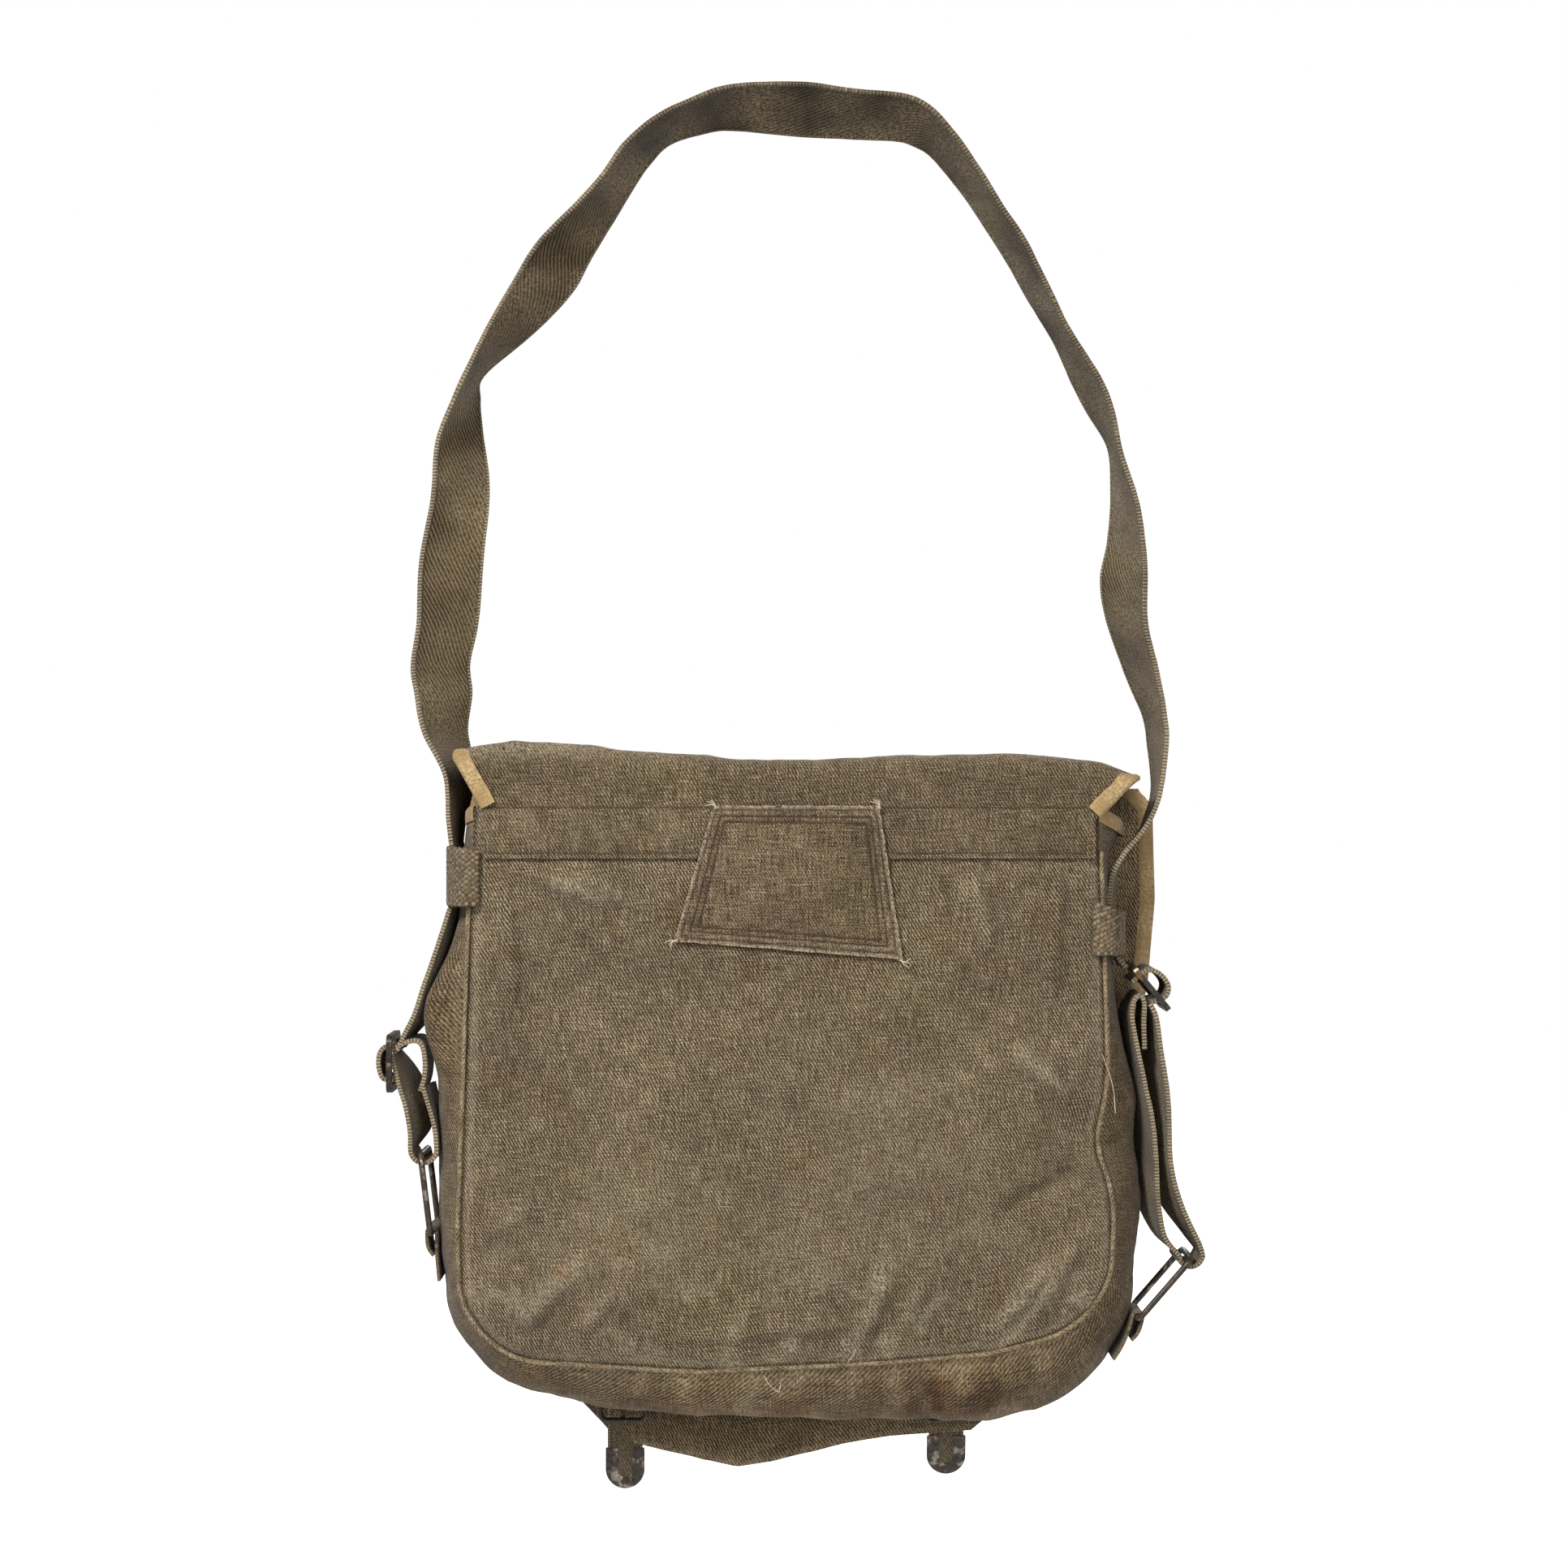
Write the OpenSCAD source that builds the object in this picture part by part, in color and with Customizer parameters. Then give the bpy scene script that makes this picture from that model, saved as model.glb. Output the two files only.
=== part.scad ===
// Canvas shoulder satchel of the kind used for carrying mail, hanging by its strap.
// +Z is up, +X is to the right seen from the bag's back, and +Y points to the flap side.
// The origin is the strap's hang point, under the top of the strap.

/* [Bag] */
// Width between the side seams at the mouth
mouth_w = 342; // [335:1:345]
// Width between the side seams just above the bottom corners
base_w = 360; // [355:1:362]
// Height from the mouth down to the bottom seam
bag_h = 314; // [310:1:320]
// Distance between the back seam and the front seam
bag_d = 70; // [66:1:72]
// Radius of the bottom corners
corner_r = 40; // [38:1:42]
// Drop from the hang point down to the mouth
mouth_drop = 392; // [390:1:394]
// Thickness of one layer of hemmed canvas
cloth_t = 1.6; // [1.2:0.1:1.8]
// Width of the raised welt along each panel seam
welt_w = 3; // [2:0.5:4]

/* [Flap] */
// Height that the flap stands above the mouth
flap_rise = 28; // [24:1:30]
// Distance from the back seam to the fold above the front
flap_reach = 81; // [78:1:83]
// Length of the hanging front of the flap
flap_drop = 400; // [390:1:404]
// How far the flap's front leans out, in degrees
flap_lean = 2.2; // [1.8:0.1:2.4]
// Width of the binding tape
tape_w = 8; // [6:1:9]

/* [Webbing] */
// Width of the shoulder strap
strap_w = 38; // [37:1:38]
// Thickness of the shoulder strap
strap_t = 2.2; // [1.8:0.1:2.2]
// Width of the two closing straps
closure_w = 21; // [18:1:22]
// Distance of each closing strap from the middle of the bag
closure_x = 93; // [88:1:96]

/* [Metal] */
// Diameter of the ring wire
ring_wire = 3.4; // [3:0.1:3.6]
// Distance between the two bars of a ring, centre to centre
ring_len = 44; // [42:1:44]
// Height of a slider frame
slider_h = 32; // [30:1:32]
// Thickness of a slider frame
slider_t = 3; // [2.8:0.1:3.2]
// Diameter of the bar across a slider
slider_bar_d = 2.2; // [1.8:0.1:2.4]
// Diameter of the buckle wire
buckle_wire = 2.8; // [2.4:0.1:3]

/* [Hidden] */
$fn = 48;

canvas = [0.45, 0.39, 0.31];
canvas_dark = [0.36, 0.31, 0.24];
webbing = [0.42, 0.37, 0.29];
tape = [0.66, 0.55, 0.38];
patch_cloth = [0.47, 0.40, 0.33];
enamel = [0.16, 0.13, 0.12];
steel = [0.46, 0.43, 0.40];

mouth_z = -mouth_drop;
seam_z = mouth_z - bag_h;
corner_z = seam_z + corner_r;
corner_x = base_w / 2 - corner_r;
back_y = -bag_d / 2;
front_y = bag_d / 2;
strap_y = -4;
bulge_top = 7;
flap_hem_h = 28;

// ---- outlines and sweeps ----

function arc(cx, cz, r, a0, a1, n) =
    [for (i = [0 : n]) let (a = a0 + (a1 - a0) * i / n) [cx + r * cos(a), cz + r * sin(a)]];

function between(a, b, n) = [for (i = [0 : n - 1]) a + (b - a) * i / n];

// The seam line from the left of the mouth, down, round the bottom and up to the right.
seam = concat(
    between([-mouth_w / 2, mouth_z], [-base_w / 2, corner_z], 12),
    arc(-corner_x, corner_z, corner_r, 180, 270, 8),
    between([-corner_x, seam_z], [corner_x, seam_z], 14),
    arc(corner_x, corner_z, corner_r, 270, 360, 8),
    between([base_w / 2, corner_z], [mouth_w / 2, mouth_z], 12),
    [[mouth_w / 2, mouth_z]]
);

// Drops a point that repeats the one before it.
function tidy(p) = [for (i = [0 : len(p) - 1]) if (i == 0 || norm(p[i] - p[i - 1]) > 0.01) p[i]];
seam_line = tidy(seam);

function unit(v) = v / norm(v);
function left_of(v) = [-v[1], v[0]];
function heading(p, i) = unit(p[min(i + 1, len(p) - 1)] - p[max(i - 1, 0)]);
// Moves every point of an open line sideways by d.
function beside(p, d) = [for (i = [0 : len(p) - 1]) p[i] + d * left_of(heading(p, i))];

// Bulge of the gusset: down each side by the height, and along the bottom by the distance
// from the side.
function bulge(p) =
    p[1] > corner_z
        ? lookup((mouth_z - p[1]) / (bag_h - corner_r), [[0, bulge_top], [0.34, bulge_top], [0.7, 15], [1, 11]])
        : lookup(1 - 2 * abs(p[0]) / base_w, [[0, 11], [0.08, 12], [0.22, 19], [0.6, 30], [1, 32]]);

depth_steps = 10;
function across(j) = -1 + 2 * j / depth_steps;
function crown(j) = 1 - pow(abs(across(j)), 2.2);

// One closed shell: the outer skin, then the inner skin, station by station.
module gusset_shell() {
    n = len(seam_line);
    m = depth_steps + 1;
    out = [for (i = [0 : n - 1]) -left_of(heading(seam_line, i))];
    pts = [for (side = [0, 1], i = [0 : n - 1], j = [0 : depth_steps])
        let (reach = bulge(seam_line[i]) * crown(j) - side * cloth_t,
             q = seam_line[i] + reach * out[i])
        [q[0], back_y + bag_d * j / depth_steps, q[1]]];
    function id(side, i, j) = side * n * m + i * m + j;
    skin = [for (i = [0 : n - 2], j = [0 : depth_steps - 1]) each [
        [id(0, i, j), id(0, i + 1, j), id(0, i + 1, j + 1)],
        [id(0, i, j), id(0, i + 1, j + 1), id(0, i, j + 1)],
        [id(1, i, j), id(1, i + 1, j + 1), id(1, i + 1, j)],
        [id(1, i, j), id(1, i, j + 1), id(1, i + 1, j + 1)]]];
    rims = [for (i = [0 : n - 2]) each [
        [id(0, i, 0), id(1, i, 0), id(1, i + 1, 0)],
        [id(0, i, 0), id(1, i + 1, 0), id(0, i + 1, 0)],
        [id(0, i, depth_steps), id(1, i + 1, depth_steps), id(1, i, depth_steps)],
        [id(0, i, depth_steps), id(0, i + 1, depth_steps), id(1, i + 1, depth_steps)]]];
    ends = [for (j = [0 : depth_steps - 1]) each [
        [id(0, 0, j), id(0, 0, j + 1), id(1, 0, j + 1)],
        [id(0, 0, j), id(1, 0, j + 1), id(1, 0, j)],
        [id(0, n - 1, j), id(1, n - 1, j + 1), id(0, n - 1, j + 1)],
        [id(0, n - 1, j), id(1, n - 1, j), id(1, n - 1, j + 1)]]];
    polyhedron(pts, concat(skin, rims, ends), convexity = 6);
}

// A flat outline in X and Z, given a thickness along +Y from y0.
module slab(y0, t) {
    translate([0, y0 + t, 0]) rotate([90, 0, 0]) linear_extrude(t) children();
}

module panel_outline() {
    polygon(seam_line);
}

// Webbing seen from its edge: a line in X and Z with a thickness, width w along Y.
module edge_on(path, t, w, y_mid) {
    translate([0, y_mid + w / 2, 0]) rotate([90, 0, 0]) linear_extrude(w)
        polygon(concat(beside(path, t / 2),
                       [for (i = [len(path) - 1 : -1 : 0]) beside(path, -t / 2)[i]]));
}

function catmull(p0, p1, p2, p3, t) =
    0.5 * (2 * p1 + (p2 - p0) * t + (2 * p0 - 5 * p1 + 4 * p2 - p3) * t * t
           + (3 * p1 - p0 - 3 * p2 + p3) * t * t * t);
function smooth(p, n) = concat(
    [for (i = [0 : len(p) - 2], k = [0 : n - 1])
        catmull(p[max(i - 1, 0)], p[i], p[i + 1], p[min(i + 2, len(p) - 1)], k / n)],
    [p[len(p) - 1]]);

// ---- shoulder strap ----

// Each station holds the near edge's x and z, then the far edge's x and z, from left to right.
strap_stations = [
    [-185.4, -412, -185.4, -412], [-187, -398, -187, -398], [-189, -374, -178, -372],
    [-201, -350, -180, -349], [-206, -328, -177, -328], [-208, -313, -178, -311],
    [-205, -289, -173, -287], [-204, -256, -170, -253], [-197, -220, -167, -214],
    [-194, -191, -171, -183], [-187, -172, -173, -163], [-177, -150, -171, -148],
    [-163, -121, -142, -124], [-151, -98, -120, -102], [-138, -78, -110, -83],
    [-117, -57, -98, -62], [-102, -41, -87, -43], [-90, -24, -78, -29], [-73, -9, -66, -17],
    [-51, 2, -45, -10], [-30, 9, -30, -9], [9, 11, 9, -13], [36, 7, 38, -14], [65, 4, 62, -15],
    [80, -3, 73, -18], [93, -17, 83, -24], [108, -39, 98, -42], [121, -60, 111, -61],
    [134, -80, 123, -80], [148, -109, 139, -108], [159, -131, 152, -130], [174, -154, 163, -154],
    [181, -172, 172, -171], [186, -197, 183, -191], [195, -223, 184, -218],
    [199, -248, 182, -242], [200, -263, 178, -263], [200, -289, 181, -285],
    [206, -316, 191, -314], [210, -340, 202, -340], [211, -358, 205, -357],
    [206, -383, 208, -383], [199, -399, 199, -399], [189, -408, 189, -408],
    [185.4, -416, 185.4, -416]
];

// The top of the strap bows towards the hang point, so its middle is at y = 0 there.
function strap_mid_y(z) = strap_y * min(1, max(0, -z / 120));
function depth_of(s) = sqrt(max(0, strap_w * strap_w - pow(s[0] - s[2], 2) - pow(s[1] - s[3], 2)));
function near_edge(s) =
    [s[0], strap_mid_y((s[1] + s[3]) / 2) - depth_of(s) / 2, s[1]];
function far_edge(s) =
    [s[2], strap_mid_y((s[1] + s[3]) / 2) + depth_of(s) / 2, s[3]];

module strap_arch() {
    near = smooth([for (s = strap_stations) near_edge(s)], 3);
    far = smooth([for (s = strap_stations) far_edge(s)], 3);
    n = len(near);
    mid = (near + far) / 2;
    side = [for (i = [0 : n - 1])
        let (along = mid[min(i + 1, n - 1)] - mid[max(i - 1, 0)])
        unit(cross(along, far[i] - near[i])) * strap_t / 2];
    pts = [for (i = [0 : n - 1]) each
        [near[i] + side[i], far[i] + side[i], far[i] - side[i], near[i] - side[i]]];
    walls = [for (i = [0 : n - 2], k = [0 : 3]) let (a = 4 * i, b = (k + 1) % 4) each
        [[a + k, a + 4 + k, a + 4 + b], [a + k, a + 4 + b, a + b]]];
    last = 4 * (n - 1);
    polyhedron(pts, concat(walls, [[0, 1, 2], [0, 2, 3],
        [last, last + 2, last + 1], [last, last + 3, last + 2]]), convexity = 8);
}
module shoulder_strap() { color(webbing) strap_arch(); }

// ---- bag ----

module back_panel() { color(canvas) slab(back_y - cloth_t, cloth_t) panel_outline(); }
module front_panel() { color(canvas_dark) slab(front_y, cloth_t) panel_outline(); }
module gusset() { color(canvas) gusset_shell(); }

welt_t = 1.2;
module welt(y0) {
    slab(y0, welt_t) difference() {
        panel_outline();
        polygon(beside(seam_line, welt_w));
        translate([-mouth_w, mouth_z - flap_hem_h]) square([2 * mouth_w, 100]);
    }
}
module back_welt() { color(canvas) welt(back_y - cloth_t - welt_t); }
module front_welt() { color(canvas_dark) welt(front_y + cloth_t); }

front_hem_h = 22;
module front_hem() {
    color(canvas_dark) slab(front_y + cloth_t, 1)
        translate([-mouth_w / 2, mouth_z - front_hem_h]) square([mouth_w, front_hem_h]);
}

// The binding stands on the gusset's rim and follows its crown.
rim_curve = [for (j = [0 : depth_steps]) [mouth_w / 2 + bulge_top * crown(j) - cloth_t / 2,
                                         back_y + bag_d * j / depth_steps]];
module rim_binding() {
    translate([0, 0, mouth_z + 0.4]) linear_extrude(6)
        polygon(concat(beside(rim_curve, 1.3),
                       [for (j = [depth_steps : -1 : 0]) beside(rim_curve, -1.3)[j]]));
}
module gusset_binding_right() { color(tape) rim_binding(); }
module gusset_binding_left() { color(tape) mirror([1, 0, 0]) rim_binding(); }

module flap_hem() {
    color(canvas) slab(back_y - 2 * cloth_t, cloth_t)
        translate([-mouth_w / 2 + 1, mouth_z - flap_hem_h]) square([mouth_w - 2, flap_hem_h - 1]);
}

module back_patch() {
    color(patch_cloth) slab(back_y - 2 * cloth_t - 1.3, 1.2)
        polygon([[-41, mouth_z - 3], [51, mouth_z - 3], [64, -477], [-65, -465]]);
}

// ---- keepers, strap ends and their rings ----

keeper_h = 32;
keeper_left_z = -434;
keeper_right_z = -457;
lead_x = 182.6;

// Webbing loop open towards the gusset, drawn for the right side.
module keeper(z_mid) {
    near_leg = 178.2;
    far_leg = 180.2;
    outside = 190.2;
    thick = 2;
    near = strap_y - strap_w / 2 - 3;
    far = strap_y + strap_w / 2 + 3;
    translate([0, 0, z_mid - keeper_h / 2]) linear_extrude(keeper_h) {
        translate([outside - thick, near]) square([thick, far - near]);
        translate([near_leg, near]) square([outside - near_leg - 1, thick]);
        translate([far_leg, far - thick]) square([outside - far_leg - 1, thick]);
    }
}
module keeper_left() { color(webbing) mirror([1, 0, 0]) keeper(keeper_left_z); }
module keeper_right() { color(webbing) keeper(keeper_right_z); }

lead_left = smooth([[-lead_x, -396], [-lead_x, -424], [-lead_x, -449], [-188, -463],
                    [-196, -484], [-204, -505], [-212, -521]], 4);
lead_right = smooth([[lead_x, -400], [lead_x, -446], [lead_x, -472], [185.5, -476.5],
                     [189, -480]], 4);
module strap_lead_left() { color(webbing) edge_on(lead_left, strap_t, strap_w, strap_y); }
module strap_lead_right() { color(webbing) edge_on(lead_right, strap_t, strap_w, strap_y); }

// Where each ring's two bars are: the pivot bar in the chape, and the bar in the strap.
ring_pivot_left = [-196.6, -628];
ring_lean_left = 97;
ring_pivot_right = [195.4, -675];
ring_lean_right = 49;
function ring_far(pivot, lean) = pivot + ring_len * [cos(lean), sin(lean)];

// A loop of wire standing on its pivot bar, leaning by the given angle from +X.
module ring(pivot, lean) {
    wide = strap_w + 6;
    bend = 5;
    translate([pivot[0], strap_y, pivot[1]]) rotate([0, -lean, 0]) {
        for (x = [0, ring_len])
            translate([x, -wide / 2 + bend, 0]) rotate([-90, 0, 0])
                cylinder(d = ring_wire, h = wide - 2 * bend);
        for (y = [-wide / 2, wide / 2])
            translate([bend, y, 0]) rotate([0, 90, 0])
                cylinder(d = ring_wire, h = ring_len - 2 * bend);
        for (sx = [0, 1], sy = [-1, 1])
            translate([sx ? ring_len - bend : bend, sy * (wide / 2 - bend), 0])
                rotate([0, 0, sx ? (sy > 0 ? 0 : 270) : (sy > 0 ? 90 : 180)])
                    rotate_extrude(angle = 90) translate([bend, 0]) circle(d = ring_wire);
    }
}
module ring_left() { color(steel) ring(ring_pivot_left, ring_lean_left); }
module ring_right() { color(steel) ring(ring_pivot_right, ring_lean_right); }

// Webbing sewn to the gusset and turned up round the ring's pivot bar.
chape_t = 1.5;
chape_w = 30;
chape_r = ring_wire / 2 + 0.4 + chape_t / 2;
chape_left = concat(
    between([ring_pivot_left[0] + chape_r, ring_pivot_left[1] - 26],
            [ring_pivot_left[0] + chape_r, ring_pivot_left[1]], 3),
    arc(ring_pivot_left[0], ring_pivot_left[1], chape_r, 0, 180, 10),
    [[ring_pivot_left[0] - chape_r + 0.6, ring_pivot_left[1] - 8],
     [ring_pivot_left[0] + 1, ring_pivot_left[1] - 13]]);
chape_right = concat(
    arc(corner_x, corner_z, corner_r + 13, -38, -14, 5),
    arc(ring_pivot_right[0], ring_pivot_right[1], chape_r, 172, 0, 10),
    [[ring_pivot_right[0] + 0.6, ring_pivot_right[1] - 8],
     [ring_pivot_right[0] - 3.5, ring_pivot_right[1] - 13]]);
module ring_chape_left() { color(webbing) edge_on(chape_left, chape_t, chape_w, strap_y); }
module ring_chape_right() { color(webbing) edge_on(chape_right, chape_t, chape_w, strap_y); }

// The strap end runs down from the slider, round the ring's upper bar and back up.
bar_left = ring_far(ring_pivot_left, ring_lean_left);
bar_right = ring_far(ring_pivot_right, ring_lean_right);
turn_r = 6;
tail_left = concat(
    smooth([[-214, -552], [-211, -562], [bar_left[0] - turn_r - 0.5, bar_left[1] + 13]], 4),
    arc(bar_left[0], bar_left[1] + 2.5, turn_r, 180, 360, 12),
    smooth([[bar_left[0] + turn_r, bar_left[1] + 13], [-198, -563], [-200, -556]], 4));
tail_right = concat(
    smooth([[208, -512], [209, -530], [213, -555], [215, -590], [221, -614],
            [bar_right[0] + 5.4, -634]], 5),
    arc(bar_right[0] - 0.6, bar_right[1] + 2.5, turn_r, 0, -180, 12),
    smooth([[bar_right[0] - 8, -630], [207, -614], [206, -590], [203, -566],
            [198, -545], [194.5, -520], [193.5, -508]], 5));
module strap_tail_left() { color(webbing) edge_on(tidy(tail_left), strap_t, strap_w, strap_y); }
module strap_tail_right() { color(webbing) edge_on(tidy(tail_right), strap_t, strap_w, strap_y); }

// ---- sliders ----

slider_w = strap_w + 8;
slider_left_at = [-219.5, -534];
slider_left_turn = 90;
slider_right_at = [202, -492];
slider_right_turn = -50;

// A flat frame in its own plane, local x along its height, with a round hole for the bar.
module slider_frame(at, turn) {
    rail = 4;
    translate([at[0], strap_y, at[1]]) rotate([0, -turn, 0])
        difference() {
            translate([0, 0, -slider_t / 2]) linear_extrude(slider_t) difference() {
                rounded(slider_h, slider_w, 5);
                rounded(slider_h - 2 * rail, slider_w - 2 * rail, 2.5);
            }
            translate([0, -slider_w / 2 - 1, 0]) rotate([-90, 0, 0])
                cylinder(d = slider_bar_d, h = slider_w + 2);
        }
}
module rounded(a, b, r) {
    for (x = [-1, 1], y = [-1, 1])
        translate([x * (a / 2 - r), y * (b / 2 - r)]) circle(r);
    square([a - 2 * r, b], center = true);
    square([a, b - 2 * r], center = true);
}
module slider_bar(at, turn) {
    translate([at[0], strap_y, at[1]]) rotate([0, -turn, 0])
        translate([0, -slider_w / 2, 0]) rotate([-90, 0, 0])
            cylinder(d = slider_bar_d, h = slider_w);
}
module slider_left() { color(enamel) slider_frame(slider_left_at, slider_left_turn); }
module slider_right() { color(enamel) slider_frame(slider_right_at, slider_right_turn); }
module slider_bar_left() { color(steel) slider_bar(slider_left_at, slider_left_turn); }
module slider_bar_right() { color(steel) slider_bar(slider_right_at, slider_right_turn); }

// The bight of webbing that wraps each slider bar on its outer side: how far it lies along
// the frame from the bar, and how far it stands out from the frame as a share of its reach.
bight_line = [[-9, -0.6], [-9, 0], [-8, 0.65], [-2, 1], [5, 0.95], [8.8, 0.5], [8.4, 0], [6, -0.6]];
function bight(at, turn, reach) = smooth([for (p = bight_line)
    at + p[0] * [cos(turn), sin(turn)] + p[1] * reach * [-sin(turn), cos(turn)]], 4);
bight_left = bight(slider_left_at, slider_left_turn, 6);
bight_right = bight(slider_right_at, slider_right_turn, 9);
module strap_bight_left() { color(webbing) edge_on(bight_left, strap_t, strap_w - 2, strap_y); }
module strap_bight_right() { color(webbing) edge_on(bight_right, strap_t, strap_w - 2, strap_y); }

// ---- flap ----

hinge_y = back_y - 2 * cloth_t;
fold_y = back_y + flap_reach;
fold_z = mouth_z + flap_rise;
flap_left = -172;
flap_right = 186;

module flap_top() {
    color(canvas) {
        translate([flap_left, 0, 0]) rotate([90, 0, 90]) linear_extrude(flap_right - flap_left)
            polygon(concat(
                [[hinge_y, mouth_z], [hinge_y + cloth_t, mouth_z]],
                arc(hinge_y + 7.6, fold_z - 7.6, 6, 180, 90, 5),
                [[fold_y, fold_z - cloth_t], [fold_y, fold_z]],
                arc(hinge_y + 7.6, fold_z - 7.6, 7.6, 90, 180, 5)));
        slab(hinge_y, cloth_t) {
            polygon([[flap_left + 1, mouth_z + 1], [flap_left + 1, fold_z - 8],
                     [flap_left - 10, fold_z - 8], [flap_left - 2, mouth_z + 3]]);
            polygon([[flap_right - 1, mouth_z + 1], [flap_right - 1, fold_z - 8],
                     [flap_right + 11, fold_z - 8], [flap_right, mouth_z + 3]]);
        }
    }
}
module flap_top_binding() {
    color(tape) for (x = [flap_left, flap_right - tape_w])
        translate([x, back_y + 12, fold_z]) cube([tape_w, flap_reach - 14, 0.8]);
}

// The flap's front is drawn hanging straight down from the fold, then leaned out.
module leaned() {
    translate([0, fold_y, fold_z]) rotate([flap_lean, 0, 0]) children();
}
module flap_front_outline() {
    l = -188;
    r = 197;
    d = flap_drop;
    polygon(concat(
        [[flap_left, -2], [l + 3, -10], [l, -22], [l, -d + 52]],
        arc(l + 42, -d + 52, 42, 180, 255, 6),
        [[-110, -d + 8], [-27, -d - 5], [60, -d + 8]],
        arc(r - 42, -d + 52, 42, 285, 360, 6),
        [[r, -22], [r - 3, -10], [flap_right, -2]]));
}
module flap_front() { color(canvas_dark) leaned() slab(0, cloth_t) flap_front_outline(); }
module flap_front_binding() {
    color(tape) leaned() slab(cloth_t, 0.8) intersection() {
        flap_front_outline();
        union() {
            translate([-190, -flap_drop + 60]) square([tape_w + 2, flap_drop - 84]);
            translate([197 - tape_w, -flap_drop + 60]) square([tape_w + 2, flap_drop - 84]);
        }
    }
}

// ---- closing straps ----

closure_top = -300;
closure_free = 122;
closure_end = closure_top - closure_free + 10;
module closure_anchor(x) {
    color(webbing) leaned() translate([x - closure_w / 2, cloth_t, closure_top + 1])
        cube([closure_w, 2, 34]);
}
module closure_anchor_left() { closure_anchor(-closure_x); }
module closure_anchor_right() { closure_anchor(closure_x); }
module closure_strap(x) {
    color(webbing) leaned() difference() {
        translate([x - closure_w / 2, cloth_t + 0.3, closure_end])
            cube([closure_w, 1.8, closure_free - 11.5]);
        for (k = [1 : 3])
            translate([x, 0, closure_top - 28 - 14 * k]) rotate([-90, 0, 0]) cylinder(d = 3, h = 9);
    }
}
module closure_strap_left() { closure_strap(-closure_x); }
module closure_strap_right() { closure_strap(closure_x); }

// A U-shaped metal tip, folded round the end of the strap.
module strap_tip(x) {
    color(steel) leaned() translate([x, 0, closure_end])
        slab(cloth_t + 0.1, 2.2) {
            difference() {
                circle(closure_w / 2);
                translate([-closure_w, 0]) square(2 * closure_w);
            }
        }
}
module strap_tip_left() { strap_tip(-closure_x); }
module strap_tip_right() { strap_tip(closure_x); }

// ---- closing buckles ----

buckle_bar_z = seam_z - 14;
buckle_y = front_y + cloth_t + 3.2;
buckle_len = 23;
buckle_half = 13;

module buckle(x) {
    bend = 4;
    color(steel) translate([x, buckle_y, buckle_bar_z]) {
        for (z = [0, -buckle_len])
            translate([-buckle_half + bend, 0, z]) rotate([0, 90, 0])
                cylinder(d = buckle_wire, h = 2 * (buckle_half - bend));
        for (s = [-1, 1])
            translate([s * buckle_half, 0, -buckle_len + bend])
                cylinder(d = buckle_wire, h = buckle_len - 2 * bend);
        for (s = [-1, 1], e = [0, 1])
            translate([s * (buckle_half - bend), 0, e ? -buckle_len + bend : -bend])
                rotate([90, 0, 0])
                    rotate([0, 0, e ? (s > 0 ? 270 : 180) : (s > 0 ? 0 : 90)])
                        rotate_extrude(angle = 90) translate([bend, 0]) circle(d = buckle_wire);
    }
}
module buckle_left() { buckle(-closure_x); }
module buckle_right() { buckle(closure_x); }

// The prong's eye turns on the buckle's top bar and its tip rests on the bottom bar.
module prong(x) {
    eye = buckle_wire / 2 + 0.06;
    color(steel) translate([x, buckle_y, buckle_bar_z]) {
        translate([-1.4, 0, 0]) rotate([0, 90, 0]) difference() {
            cylinder(r = eye + 1.3, h = 2.8);
            translate([0, 0, -1]) cylinder(r = eye, h = 4.8);
        }
        translate([-1.2, buckle_wire / 2 + 0.2, -buckle_len - 1]) cube([2.4, 1.2, buckle_len - 1]);
        translate([-1.2, eye + 0.4, -3]) cube([2.4, 0.8, 3]);
    }
}
module prong_left() { prong(-closure_x); }
module prong_right() { prong(closure_x); }

// Webbing sewn to the front panel, turned round the top bar on both sides of the prong.
module buckle_chape(x) {
    t = 1.4;
    r_in = buckle_wire / 2 + 0.2;
    y_front = front_y + cloth_t;
    color(webbing) translate([x, 0, 0]) difference() {
        union() {
            translate([-closure_w / 2 + 2, y_front + 1.2, buckle_bar_z + 2])
                cube([closure_w - 4, t, 44]);
            translate([-closure_w / 2 + 2, buckle_y, buckle_bar_z]) rotate([0, 90, 0])
                cylinder(r = r_in + t, h = closure_w - 4);
        }
        translate([-closure_w, buckle_y, buckle_bar_z]) rotate([0, 90, 0])
            cylinder(r = r_in, h = 2 * closure_w);
        translate([-3, y_front, buckle_bar_z - 6]) cube([6, 12, 14]);
    }
}
module buckle_chape_left() { buckle_chape(-closure_x); }
module buckle_chape_right() { buckle_chape(closure_x); }

shoulder_strap();
back_panel();
front_panel();
gusset();
back_welt();
front_welt();
front_hem();
gusset_binding_left();
gusset_binding_right();
flap_hem();
back_patch();
keeper_left();
keeper_right();
strap_lead_left();
strap_lead_right();
strap_tail_left();
strap_tail_right();
ring_chape_left();
ring_chape_right();
buckle_chape_left();
buckle_chape_right();
flap_top();
flap_top_binding();
flap_front();
flap_front_binding();
closure_anchor_left();
closure_anchor_right();
closure_strap_left();
closure_strap_right();
strap_tip_left();
strap_tip_right();
buckle_left();
buckle_right();
prong_left();
prong_right();
ring_left();
ring_right();
slider_left();
slider_right();
slider_bar_left();
slider_bar_right();
strap_bight_left();
strap_bight_right();
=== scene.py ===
import math

import bpy
import numpy as np
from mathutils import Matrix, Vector, noise


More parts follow.
